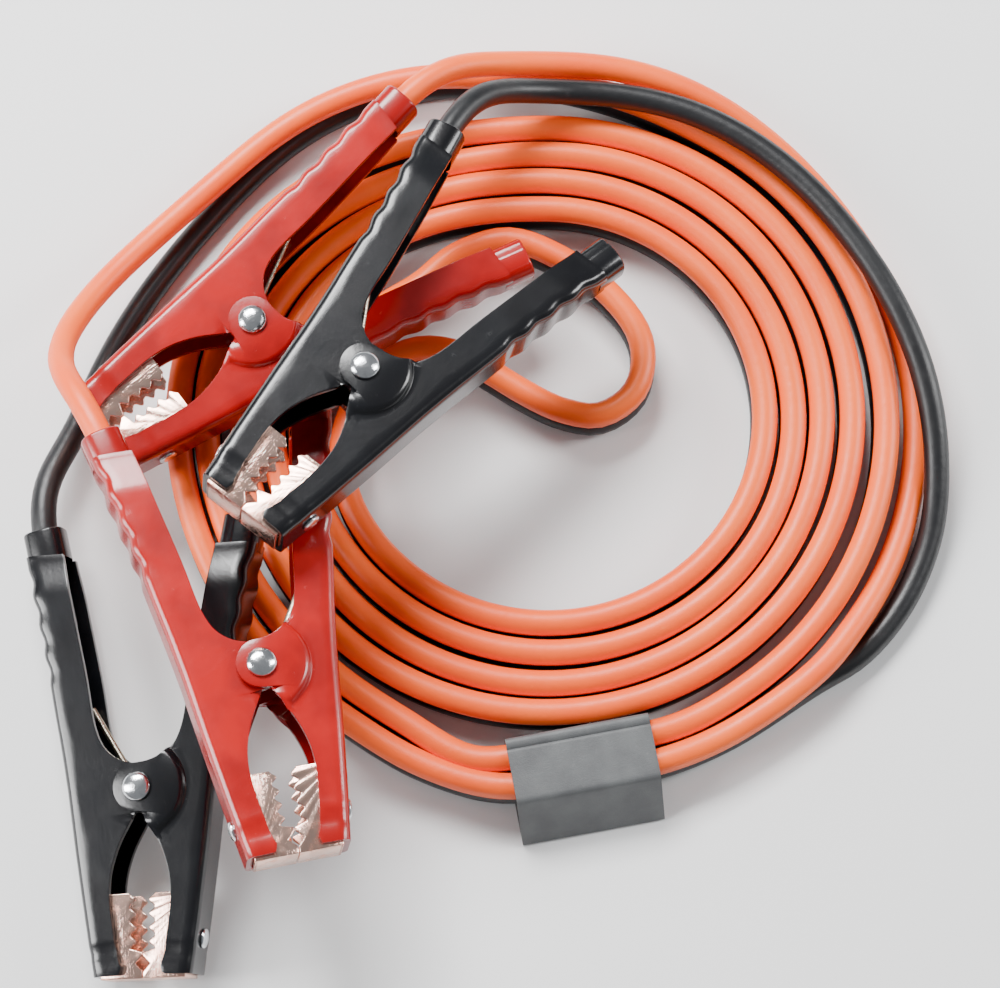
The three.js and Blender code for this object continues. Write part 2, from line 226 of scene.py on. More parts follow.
def grid_faces(rows: int, columns: int, closed: bool = False) -> list[tuple[int, int, int, int]]:
    """Returns the quads of a grid of points that are listed row by row.

    Args:
        rows: How many rows of points there are.
        columns: How many points each row has.
        closed: Whether each row is a loop.

    Returns:
        Four point numbers for each quad.
    """
    spans = columns if closed else columns - 1
    faces = []
    for row in range(rows - 1):
        for column in range(spans):
            here = row * columns + column
            beside = row * columns + (column + 1) % columns
            faces.append((here, beside, beside + columns, here + columns))
    return faces


def finished(mesh: bpy.types.Mesh, *steps: Step) -> bpy.types.Mesh:
    """Runs modifiers over a mesh and keeps what they make.

    Args:
        mesh: The mesh to start from, which is removed.
        steps: Each modifier's type and its settings.

    Returns:
        A new mesh of the same name.
    """
    holder = bpy.data.objects.new("holder", mesh)
    bpy.context.scene.collection.objects.link(holder)
    for kind, settings in steps:
        modifier = holder.modifiers.new(kind.lower(), kind)
        for name, value in settings.items():
            setattr(modifier, name, value)
    view = bpy.context.evaluated_depsgraph_get()
    made = bpy.data.meshes.new_from_object(holder.evaluated_get(view))
    name = mesh.name
    bpy.data.objects.remove(holder)
    bpy.data.meshes.remove(mesh)
    made.name = name
    return made


def rounded_edges(width: float, segments: int, sharpest: float) -> Step:
    """Returns the modifier that rounds the edges sharper than an angle, its width in millimetres."""
    limit = math.radians(sharpest)
    return "BEVEL", {"width": width * MM, "segments": segments, "limit_method": "ANGLE", "angle_limit": limit}


def sheet_metal(thickness: float, edge: float) -> tuple[Step, Step]:
    """Returns the modifiers that give a middle surface its thickness and round its cut edges."""
    return ("SOLIDIFY", {"thickness": thickness * MM, "offset": 0.0}), rounded_edges(edge, 3, 55)


def turned(name: str, profile: Line, sides: int) -> bpy.types.Mesh:
    """Turns a profile round the Z axis.

    Args:
        name: The mesh's name.
        profile: Radius and height of each point, from the bottom axis to the top axis.
        sides: How many steps the turn has.

    Returns:
        The closed mesh.
    """
    points = [
        Vector((r * math.cos(a), r * math.sin(a), z))
        for r, z in profile
        for a in (2 * math.pi * i / sides for i in range(sides))
    ]
    mesh = mesh_of(name, points, grid_faces(len(profile), sides, closed=True))
    work = bmesh.new()
    work.from_mesh(mesh)
    bmesh.ops.remove_doubles(work, verts=work.verts, dist=1e-7)
    bmesh.ops.recalc_face_normals(work, faces=work.faces)
    work.to_mesh(mesh)
    work.free()
    return mesh


def prism(name: str, outline: Line, low: float, high: float) -> bpy.types.Mesh:
    """Builds an upright solid over a plan outline.

    Args:
        name: The mesh's name.
        outline: The plan in millimetres.
        low: The height of its underside.
        high: The height of its top.

    Returns:
        The closed mesh.
    """
    count = len(outline)
    points = [Vector((x, y, z)) for z in (low, high) for x, y in outline]
    sides = [(i, (i + 1) % count, count + (i + 1) % count, count + i) for i in range(count)]
    return mesh_of(name, points, [range(count), range(count, 2 * count), *sides])


def wire_curve(name: str, points: Sequence[Vector], radius: float, rings: int) -> bpy.types.Curve:
    """Makes a round wire or cable along a line.

    Args:
        name: The curve's name.
        points: The line in metres.
        radius: The wire's radius in metres.
        rings: The roundness, as the curve's bevel resolution.

    Returns:
        A curve of one open spline.
    """
    curve = bpy.data.curves.new(name, "CURVE")
    curve.dimensions = "3D"
    curve.bevel_depth = radius
    curve.bevel_resolution = rings
    curve.use_fill_caps = True
    spline = curve.splines.new("POLY")
    spline.points.add(len(points) - 1)
    for knot, point in zip(spline.points, points):
        knot.co = (*point, 1.0)
    spline.use_smooth = True
    return curve


# Shader expressions


@dataclass(frozen=True)
class Signal:
    """One value inside a material, so that a formula on values adds its own Math nodes."""

    tree: bpy.types.NodeTree
    socket: bpy.types.NodeSocket

    def maths(self, operation: str, *values: Signal | float) -> Signal:
        """Returns a Math node's result, with the values in order."""
        return add_node(self.tree, "ShaderNodeMath", {"operation": operation}, dict(enumerate(values)))

    def __add__(self, other: Signal | float) -> Signal:
        """Returns the sum."""
        return self.maths("ADD", self, other)

    __radd__ = __add__

    def __sub__(self, other: Signal | float) -> Signal:
        """Returns this value less the other."""
        return self.maths("SUBTRACT", self, other)

    def __rsub__(self, other: Signal | float) -> Signal:
        """Returns the other value less this one."""
        return self.maths("SUBTRACT", other, self)

    def __mul__(self, other: Signal | float) -> Signal:
        """Returns the product."""
        return self.maths("MULTIPLY", self, other)

    __rmul__ = __mul__

    def between(self, low: float, high: float) -> Signal:
        """Makes a smooth step between two values.

        Args:
            low: The value up to which the result is 0.
            high: The value from which it is 1.

        Returns:
            The stepped signal.
        """
        settings = {"interpolation_type": "SMOOTHSTEP"}
        values = {0: self, 1: low, 2: high, 3: 0.0, 4: 1.0}
        return add_node(self.tree, "ShaderNodeMapRange", settings, values)


def add_node(
    tree: bpy.types.NodeTree,
    kind: str,
    settings: Mapping[str, object],
    values: Mapping[int | str, object],
    output: int | str = 0,
) -> Signal:
    """Adds any node.

    Args:
        tree: The material's node tree.
        kind: The node's type.
        settings: The node's own settings, which are set first. A "stops" entry fills a colour ramp.
        values: Each input's value, or the signal that feeds it.
        output: The output to go on with.

    Returns:
        The signal from that output.
    """
    node = tree.nodes.new(kind)
    for name, value in settings.items():
        if name == "stops":
            fill_ramp(node.color_ramp, value)
        else:
            setattr(node, name, value)
    for name, value in values.items():
        if isinstance(value, Signal):
            tree.links.new(value.socket, node.inputs[name])
        else:
            node.inputs[name].default_value = value
    return Signal(tree, node.outputs[output])


def fill_ramp(ramp: bpy.types.ColorRamp, stops: Sequence[tuple[float, tuple[float, ...]]]) -> None:
    """Sets a colour ramp's stops.

    Args:
        ramp: The ramp.
        stops: Each stop's place from 0 to 1 and its colour.
    """
    while len(ramp.elements) < len(stops):
        ramp.elements.new(0.5)
    for element, (place, colour) in zip(ramp.elements, stops):
        element.position = place
        element.color = (*colour, 1.0)


@dataclass
class Surface:
    """A material on its way: its tree, its main shader, and the patterns that feed it."""

    material: bpy.types.Material

    @classmethod
    def named(cls, name: str) -> Surface:
        """Starts a material with a Principled shader.

        Args:
            name: The material's name.

        Returns:
            The surface around it.
        """
        material = bpy.data.materials.new(name)
        material.use_nodes = True
        return cls(material)

    @property
    def tree(self) -> bpy.types.NodeTree:
        """The material's node tree."""
        return self.material.node_tree

    @property
    def shader(self) -> bpy.types.Node:
        """The Principled shader."""
        return self.tree.nodes["Principled BSDF"]

    def place(self) -> Signal:
        """The point on the surface, in metres in the piece's own frame."""
        return add_node(self.tree, "ShaderNodeTexCoord", {}, {}, "Object")

    def stretched(self, place: Signal, scale: tuple[float, float, float]) -> Signal:
        """Returns a place with each axis scaled, for patterns that run one way."""
        return add_node(self.tree, "ShaderNodeMapping", {}, {"Vector": place, "Scale": scale})

    def noise(self, place: Signal, scale: float, detail: float = 3.0, roughness: float = 0.5) -> Signal:
        """Returns a soft random pattern, with scale in blobs to the metre."""
        values = {"Vector": place, "Scale": scale, "Detail": detail, "Roughness": roughness}
        return add_node(self.tree, "ShaderNodeTexNoise", {}, values)

    def painted(self, name: str) -> Signal:
        """Returns a value that the mesh carries at each point."""
        return add_node(self.tree, "ShaderNodeAttribute", {"attribute_name": name}, {}, "Fac")

    def blended(self, amount: Signal, first: Colour, second: Colour) -> Signal:
        """Returns a colour between two, by an amount from 0 to 1."""
        stops = [(0.0, first), (1.0, second)]
        return add_node(self.tree, "ShaderNodeValToRGB", {"stops": stops}, {0: amount})

    def mixed(self, amount: Signal, first: Signal, second: Signal | Colour) -> Signal:
        """Blends a colour signal towards another colour.

        Args:
            amount: How far, from 0 to 1.
            first: The colour at 0.
            second: The colour at 1.

        Returns:
            The blended colour.
        """
        other = second if isinstance(second, Signal) else (*second, 1.0)
        values = {0: amount, 6: first, 7: other}
        return add_node(self.tree, "ShaderNodeMix", {"data_type": "RGBA"}, values, 2)

    def bump(self, height: Signal, strength: float, depth: float) -> None:
        """Feeds the shader's normal with a height pattern, its depth in metres."""
        values = {"Strength": strength, "Distance": depth, "Height": height}
        self.feed("Normal", add_node(self.tree, "ShaderNodeBump", {}, values))

    def feed(self, socket: str, value: Signal | float | Colour) -> None:
        """Sets or links one of the shader's sockets.

        Args:
            socket: The socket's name.
            value: A signal to link, or a constant to set.
        """
        target = self.shader.inputs[socket]
        if isinstance(value, Signal):
            self.tree.links.new(value.socket, target)
        elif isinstance(value, tuple):
            target.default_value = (*value, 1.0)
        else:
            target.default_value = value


# Finishes


@dataclass(frozen=True)
class DippedVinyl:
    """A thick glossy vinyl coat, dipped over stamped steel."""

    name: str
    face: Colour
    deep: Colour
    scuffed: Colour
    gloss: float

    def material(self) -> bpy.types.Material:
        """Makes the coat, darker where the mesh's rim value is high, and dulled by handling.

        Returns:
            The new material.
        """
        surface = Surface.named(self.name)
        place = surface.place()
        cloud = surface.noise(place, 55.0)
        colour = surface.blended(cloud.between(0.3, 0.7), self.face, self.deep)
        rim = surface.painted("rim")
        colour = surface.mixed(rim * 0.75, colour, self.deep)
        worn = surface.noise(place, 260.0, 5.0, 0.65).between(0.62, 0.78)
        colour = surface.mixed(worn * 0.06, colour, self.scuffed)
        surface.feed("Base Color", colour)
        smear = surface.noise(place, 120.0, 4.0)
        surface.feed("Roughness", smear * 0.08 + worn * 0.06 + self.gloss)
        surface.feed("Coat Weight", 0.25)
        surface.feed("Coat Roughness", 0.08)
        surface.feed("IOR", 1.5)
        peel = surface.noise(place, 750.0, 2.0) * 0.5 + surface.noise(place, 130.0, 2.0)
        surface.bump(peel, 0.12, 0.0004)
        return surface.material


@dataclass(frozen=True)
class CableJacket:
    """A supple extruded cable jacket with a satin skin."""

    name: str
    face: Colour
    deep: Colour
    dusty: Colour
    gloss: float

    def material(self) -> bpy.types.Material:
        """Makes the jacket, with faint clouding, rub marks and a fine skin.

        Returns:
            The new material.
        """
        surface = Surface.named(self.name)
        place = surface.place()
        cloud = surface.noise(place, 28.0, 2.0)
        colour = surface.blended(cloud.between(0.3, 0.7), self.face, self.deep)
        rubbed = surface.noise(place, 340.0, 6.0, 0.7).between(0.58, 0.74)
        colour = surface.mixed(rubbed * 0.16, colour, self.dusty)
        surface.feed("Base Color", colour)
        surface.feed("Roughness", surface.noise(place, 170.0, 3.0) * 0.16 + rubbed * 0.12 + self.gloss)
        surface.feed("Coat Weight", 0.05)
        surface.feed("Coat Roughness", 0.3)
        skin = surface.noise(place, 1900.0, 2.0) * 0.35 + surface.noise(place, 320.0, 2.0)
        surface.bump(skin, 0.22, 0.0005)
        return surface.material


@dataclass(frozen=True)
class BareMetal:
    """A polished or plated metal with fine scratches and a little tarnish."""

    name: str
    face: Colour
    tarnish: Colour
    gloss: float
    scratch: float

    def material(self) -> bpy.types.Material:
        """Makes the metal, with its scratches drawn out along one way.

        Returns:
            The new material.
        """
        surface = Surface.named(self.name)
        place = surface.place()
        stain = surface.noise(place, 210.0, 4.0, 0.6).between(0.42, 0.75)
        surface.feed("Base Color", surface.blended(stain, self.face, self.tarnish))
        surface.feed("Metallic", 1.0)
        lines = surface.noise(surface.stretched(place, (60.0, 900.0, 420.0)), 3.0, 3.0)
        surface.feed("Roughness", stain * 0.16 + lines * 0.08 + self.gloss)
        dents = surface.noise(place, 420.0, 2.0)
        surface.bump(lines * self.scratch + dents * 0.5, 0.3, 0.0004)
        return surface.material


@dataclass(frozen=True)
class MouldedPlastic:
    """A grey moulded plastic with a fine matt grain."""

    name: str
    face: Colour
    deep: Colour
    dusty: Colour

    def material(self) -> bpy.types.Material:
        """Makes the plastic, with spark-eroded grain and dust in it.

        Returns:
            The new material.
        """
        surface = Surface.named(self.name)
        place = surface.place()
        cloud = surface.noise(place, 90.0, 4.0)
        colour = surface.blended(cloud.between(0.3, 0.7), self.face, self.deep)
        dust = surface.noise(place, 700.0, 5.0, 0.7).between(0.55, 0.75)
        colour = surface.mixed(dust * 0.2, colour, self.dusty)
        surface.feed("Base Color", colour)
        surface.feed("Roughness", cloud * 0.12 + dust * 0.12 + 0.46)
        grain = surface.noise(place, 2600.0, 2.0) + surface.noise(place, 900.0, 2.0) * 0.6
        surface.bump(grain, 0.35, 0.0003)
        return surface.material


RED_COAT = DippedVinyl(
    name="red_dipped_vinyl",
    face=(0.42, 0.004, 0.004),
    deep=(0.28, 0.002, 0.002),
    scuffed=(0.6, 0.05, 0.04),
    gloss=0.2,
)
BLACK_COAT = DippedVinyl(
    name="black_dipped_vinyl",
    face=(0.004, 0.0045, 0.006),
    deep=(0.002, 0.002, 0.003),
    scuffed=(0.04, 0.04, 0.045),
    gloss=0.2,
)
ORANGE_JACKET = CableJacket(
    name="orange_cable_jacket",
    face=(1.0, 0.135, 0.008),
    deep=(0.95, 0.1, 0.005),
    dusty=(1.0, 0.26, 0.06),
    gloss=0.36,
)
BLACK_JACKET = CableJacket(
    name="black_cable_jacket",
    face=(0.008, 0.0085, 0.01),
    deep=(0.005, 0.005, 0.006),
    dusty=(0.05, 0.05, 0.055),
    gloss=0.34,
)
PLATED_STEEL = BareMetal(
    name="bright_plated_steel",
    face=(0.86, 0.88, 0.9),
    tarnish=(0.6, 0.62, 0.64),
    gloss=0.1,
    scratch=0.4,
)
SPRING_WIRE = BareMetal(
    name="spring_wire",
    face=(0.62, 0.57, 0.45),
    tarnish=(0.35, 0.3, 0.22),
    gloss=0.22,
    scratch=1.0,
)
COPPER_PLATE = BareMetal(
    name="bright_copper_plate",
    face=(1.0, 0.66, 0.54),
    tarnish=(0.86, 0.42, 0.3),
    gloss=0.14,
    scratch=0.8,
)
BAND_PLASTIC = MouldedPlastic(
    name="grey_band_plastic",
    face=(0.105, 0.11, 0.112),
    deep=(0.08, 0.083, 0.086),
    dusty=(0.22, 0.22, 0.22),
)


class Finish(Enum):
    """The finishes of the set. Each is made once, with the record's slot that it belongs to."""

    RED_VINYL = ("red_vinyl", RED_COAT)
    BLACK_VINYL = ("black_vinyl", BLACK_COAT)
    ORANGE_CABLE = ("orange_cable", ORANGE_JACKET)
    BLACK_CABLE = ("black_cable", BLACK_JACKET)
    BRIGHT_STEEL = ("bright_steel", PLATED_STEEL)
    SPRING_STEEL = ("spring_steel", SPRING_WIRE)
    COPPER = ("copper", COPPER_PLATE)
    PLASTIC = ("band_plastic", BAND_PLASTIC)

    @property
    def slot(self) -> str:
        """The record's slot of this finish."""
        return self.value[0]

    def material(self) -> bpy.types.Material:
        """Returns this finish's material, made at its first use."""
        recipe = self.value[1]
        return bpy.data.materials.get(recipe.name) or recipe.material()


def place_piece(
    name: str,
    data: bpy.types.ID,
    finish: Finish,
    body: str | None,
    matrix: Matrix,
    nodes: Sequence[str],
) -> bpy.types.Object:
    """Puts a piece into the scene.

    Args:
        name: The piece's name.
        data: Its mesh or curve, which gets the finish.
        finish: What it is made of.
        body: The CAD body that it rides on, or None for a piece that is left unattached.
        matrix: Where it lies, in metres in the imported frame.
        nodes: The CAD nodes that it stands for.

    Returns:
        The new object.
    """
    piece = bpy.data.objects.new(name, data)
    bpy.context.scene.collection.objects.link(piece)
    data.materials.clear()
    data.materials.append(finish.material())
    piece.matrix_world = matrix
    if body is not None:
        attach(piece, body)
    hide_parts(*nodes)
    LOG.info("%s stands for %s", name, ", ".join(nodes))
    return piece


# Layout


CABLE_DIAMETER = 9.2
TOUCH_GAP = 0.3
ROOT_BODY = "laid_set"


@dataclass(frozen=True)
class Winding:
    """The coil of six strands, each the orange cable on top of the black one."""

    centre: Plan = (-3.0, -4.0)
    inner_radius: float = 78.3
    pitch: float = 10.6
    turns: int = 6
    split_turn: int = 4
    split_gap: float = 2.0
    layer_rise: float = 9.3

    def radius(self, strand: float) -> float:
        """Returns the middle radius of a strand, counted from 0 inside, or between two strands."""
        split = self.split_gap * min(1.0, max(0.0, strand - self.split_turn + 1))
        return self.inner_radius + strand * self.pitch + split

    def height(self) -> float:
        """Returns the coil's full height."""
        return self.layer_rise + CABLE_DIAMETER

    def point(self, angle: float, radius: float, z: float) -> Vector:
        """Returns the point at an angle in degrees, a radius and a height."""
        turn = math.radians(angle)
        return Vector((self.centre[0] + radius * math.cos(turn), self.centre[1] + radius * math.sin(turn), z))


@dataclass(frozen=True)
class Layout:
    """The way from the laid-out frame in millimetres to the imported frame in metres."""

    offset: Vector

    @classmethod
    def from_coil(cls, winding: Winding) -> Layout:
        """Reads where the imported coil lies, and works out the offset from it.

        Args:
            winding: The coil as it is laid out.

        Returns:
            The layout.
        """
        low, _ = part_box("coil")
        reach = winding.radius(winding.turns - 1) + CABLE_DIAMETER / 2
        corner = Vector((winding.centre[0] - reach, winding.centre[1] - reach, 0))
        return cls(Vector((low.x, low.y, 0)) - corner * MM)

    def point(self, laid: Vector) -> Vector:
        """Returns a laid-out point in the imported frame."""
        return laid * MM + self.offset

    def matrix(self, laid: Matrix) -> Matrix:
        """Turns a laid-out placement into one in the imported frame.

        Args:
            laid: The placement in millimetres.

        Returns:
            The placement in metres.
        """
        placed = laid.copy()
        placed.translation = self.point(laid.translation)
        return placed


# Clamp


OUTER_LINE: Line = (
    (64, 17.5), (45, 20.5), (20, 24), (0, 26.5), (-20, 29.5), (-40, 33), (-60, 37), (-94, 44.5),
)
INNER_HANDLE_LINE: Line = ((-94, 30), (-60, 23), (-40, 19), (-20, 15.5), (-11, 9), (-8, 2.4))
CROTCH_LINE: Line = (
    (-8.4, 0.5), (-8.8, 3.5), (-10.6, 8.2), (-14.5, 12.6), (-21, 15.6), (-40, 19), (-60, 23), (-84, 27.9),
)
MOUTH_LINE: Line = ((64, 7), (50, 9.6), (37, 11), (29, 10.4), (20, 7.6), (12.5, 3.6), (8.4, 1.2))


@dataclass(frozen=True)
class Stamping:
    """One half of a clamp: a bent steel channel, drawn with its edge at y > 0 and jaws at x > 0."""

    jaw_reach: float = 64.0
    handle_end: float = -84.0
    half_height: float = 10.0
    wall: float = 2.2
    corner: float = 2.2
    ear_radius: float = 8.5
    step_inner: float = 14.6
    step_outer: float = 16.8
    step_height: float = 2.5
    grip_waves: int = 4
    grip_depth: float = 1.0
    grip_start: float = -38.0
    grip_end: float = -80.0
    hood_length: float = 10.0
    hood_overlap: float = 1.5
    hood_radius: float = 7.6
    hood_rim: float = 0.9
    hood_squareness: float = 0.1
    seam_angle: float = 60.0
    seam_width: float = 0.09
    seam_depth: float = 0.9
    swell_at: float = 52.4
    swell_width: float = 1.5
    swell_height: float = 0.5
    groove_at: float = 55.6
    groove_width: float = 0.8
    groove_depth: float = 0.9
    taper_length: float = 16.0
    taper_depth: float = 2.0
    ear_front: float = 13.0
    ear_back: float = -11.0
    ear_from: float = 368.0
    ear_to: float = 184.0
    mouth_steps: int = 20
    ear_steps: int = 16
    handle_steps: int = 48
    bend_steps: int = 4
    web_shares: tuple[float, ...] = (0.0, 0.5, 0.92)
    tip_pulls: tuple[float, ...] = (3.0, 1.2, 0.3)

    def outer_edge(self, x: float) -> float:
        """Reads the outer edge, with the finger grips pressed into the handle.

        Args:
            x: The place along the clamp.

        Returns:
            The edge's y there.
        """
        base = height_on_line(OUTER_LINE, x)
        if not self.grip_end <= x <= self.grip_start:
            return base
        phase = (x - self.grip_start) / (self.grip_end - self.grip_start)
        return base - self.grip_depth * (1 - math.cos(phase * self.grip_waves * 2 * math.pi)) / 2

    def hood_line(self) -> tuple[Vector, Vector]:
        """Finds the cable's line through the handle's end.

        Returns:
            The line's start and its way.
        """
        end = self.handle_end
        middle = (height_on_line(OUTER_LINE, end) + height_on_line(INNER_HANDLE_LINE, end)) / 2
        further = (height_on_line(OUTER_LINE, -60) + height_on_line(INNER_HANDLE_LINE, -60)) / 2
        return Vector((end, middle, 0)), Vector((end + 60, middle - further, 0)).normalized()

    def stations(self) -> list[tuple[Vector, Vector]]:
        """Pairs the outer with the inner edge, from the jaw to the handle's end.

        Returns:
            A point on the outer and one on the inner edge for each station.
        """
        mouth = spaced(smooth_through(plan_vectors(MOUTH_LINE), 8), self.mouth_steps)
        crotch = spaced(smooth_through(plan_vectors(CROTCH_LINE), 8), self.handle_steps)
        turns = [math.radians(a) for a in divided(self.ear_from, self.ear_to, self.ear_steps)[1:-1]]
        ear = [Vector((self.ear_radius * math.cos(a), self.ear_radius * math.sin(a), 0)) for a in turns]
        reaches = [
            *divided(self.jaw_reach, self.ear_front, self.mouth_steps),
            *divided(self.ear_front, self.ear_back, self.ear_steps)[1:-1],
            *divided(self.ear_back, self.handle_end, self.handle_steps),
        ]
        inner = [*mouth, *ear, *crotch]
        return [(Vector((x, self.outer_edge(x), 0)), q) for x, q in zip(reaches, inner)]

    def rise(self, point: Vector, stepped: bool) -> float:
        """Returns how far the top stands above its plain height at a plan point.

        Args:
            point: The plan point.
            stepped: Whether this half's ear lies over the other half's.

        Returns:
            The rise in millimetres, negative towards the slimmer handle end.
        """
        ear = (self.step_outer - Vector((point.x, point.y)).length) / (self.step_outer - self.step_inner)
        lift = self.step_height * eased(ear) if stepped else 0.0
        swell = self.swell_height * hump(point.x, self.swell_at, self.swell_width)
        groove = self.groove_depth * hump(point.x, self.groove_at, self.groove_width)
        taper = self.taper_depth * eased((self.handle_end + self.taper_length - point.x) / self.taper_length)
        return lift + swell - groove - taper

    def across(self, outer: Vector, inner: Vector, stepped: bool) -> list[Vector]:
        """Draws the upper middle surface at one station.

        Args:
            outer: The station's point on the outer edge.
            inner: Its point on the inner edge.
            stepped: Whether this half's ear lies over the other half's.

        Returns:
            Points from the web's middle round the bend to the inner edge.
        """
        way = (inner - outer).normalized()
        span = (inner - outer).length
        deep = self.half_height - self.wall / 2 - self.corner
        web = outer + way * (self.wall / 2)
        row = [web + Vector((0, 0, deep * share)) for share in self.web_shares]
        for bend in divided(0, math.pi / 2, self.bend_steps):
            inward = self.wall / 2 + self.corner * (1 - math.cos(bend))
            row.append(outer + way * inward + Vector((0, 0, deep + self.corner * math.sin(bend))))
        start = self.wall / 2 + self.corner
        for reach in self.crossings(outer, way, start, span):
            row.append(outer + way * reach + Vector((0, 0, deep + self.corner)))
        for i, point in enumerate(row):
            share = eased(i / 3)
            point.z += self.rise(point, stepped) * share
        return row

    def crossings(self, outer: Vector, way: Vector, start: float, span: float) -> list[float]:
        """Spaces the flange's points, close together over the ear's step.

        Args:
            outer: The station's point on the outer edge.
            way: The way across, towards the inner edge.
            start: Where the flange starts along it.
            span: Where it ends.

        Returns:
            Each point's distance from the outer edge.
        """
        along = -outer.dot(way)
        aside = (outer + way * along).length
        outer_hit, inner_hit = (
            along - math.sqrt(max(0.0, radius * radius - aside * aside))
            for radius in (self.step_outer + 0.2, self.step_inner - 0.2)
        )
        second = min(inner_hit, span * 0.94)
        first = min(outer_hit, second - span * 0.05)
        first = max(first, start + 1.0)
        second = max(second, first + 0.8)
        return [*divided(start, first, 4)[1:], *divided(first, second, 4)[1:], *divided(second, span, 2)[1:]]

    def round_tip(self, row: Sequence[Vector], index: int) -> None:
        """Draws the flange back over the first rows, so that the jaw's tip is round.

        Args:
            row: The upper middle surface at one station, whose points are moved.
            index: The station's number, from 0 at the tip.
        """
        if index >= len(self.tip_pulls):
            return
        flange = row[len(self.web_shares) + self.bend_steps + 1 :]
        for place, point in enumerate(flange):
            point.x -= self.tip_pulls[index] * ((place + 1) / len(flange)) ** 3

    def shell(self, name: str, stepped: bool) -> bpy.types.Mesh:
        """Builds the coated half with its hood.

        Args:
            name: The mesh's name.
            stepped: Whether this half's ears lie over the other half's.

        Returns:
            The mesh, with a "rim" value that is 1 along its cut edges.
        """
        rows: list[list[Vector]] = []
        for index, (outer, inner) in enumerate(self.stations()):
            upper = self.across(outer, inner, stepped)
            self.round_tip(upper, index)
            lower = [Vector((p.x, p.y, -p.z)) for p in reversed(upper[1:])]
            rows.append([*lower, *upper])
        columns = len(rows[0])
        mesh = mesh_of(name, [p for row in rows for p in row], grid_faces(len(rows), columns))
        rim = mesh.attributes.new("rim", "FLOAT", "POINT")
        for index, value in enumerate(rim.data):
            column, row = index % columns, index // columns
            value.value = 1.0 if column in (0, columns - 1) or row in (0, len(rows) - 1) else 0.0
        return joined(name, [finished(mesh, *sheet_metal(self.wall, 0.85)), self.hood(name)])

    def hood(self, name: str) -> bpy.types.Mesh:
        """Builds the ring at the handle's end, wrapped from a strap whose ends meet in a seam.

        Args:
            name: The start of the mesh's name.

        Returns:
            The ring, open at its foot inside the handle.
        """
        start, way = self.hood_line()
        bore = CABLE_DIAMETER / 2 + TOUCH_GAP
        sides = 40
        low, high = -self.hood_overlap, self.hood_length - self.hood_rim
        quarter = [math.radians(a) for a in divided(0, 90, 6)]
        rim_line = [(self.hood_rim * (1 - math.cos(a)), high + self.hood_rim * math.sin(a)) for a in quarter]
        section = [(self.hood_radius, low)]
        section += [(self.hood_radius - inward, along) for inward, along in rim_line]
        section += [(bore + outward, along) for outward, along in reversed(rim_line)]
        section += [(bore, low)]
        turn = way.to_track_quat("Z", "Y").to_matrix().to_4x4()
        points = []
        for radius, along in section:
            for i in range(sides):
                angle = 2 * math.pi * i / sides
                seam = self.seam_depth * hump(angle, math.radians(self.seam_angle), self.seam_width)
                squared = 1 + self.hood_squareness * ((1 - math.cos(4 * angle)) / 2 - 0.4)
                outward = radius * squared - (seam if radius > bore + self.hood_rim else 0.0)
                local = Vector((outward * math.cos(angle), outward * math.sin(angle), along))
                points.append(start + turn @ local)
        mesh = mesh_of(name + "_hood", points, grid_faces(len(section), sides, closed=True))
        rim = mesh.attributes.new("rim", "FLOAT", "POINT")
        for value in rim.data:
            value.value = 0.45
        return mesh


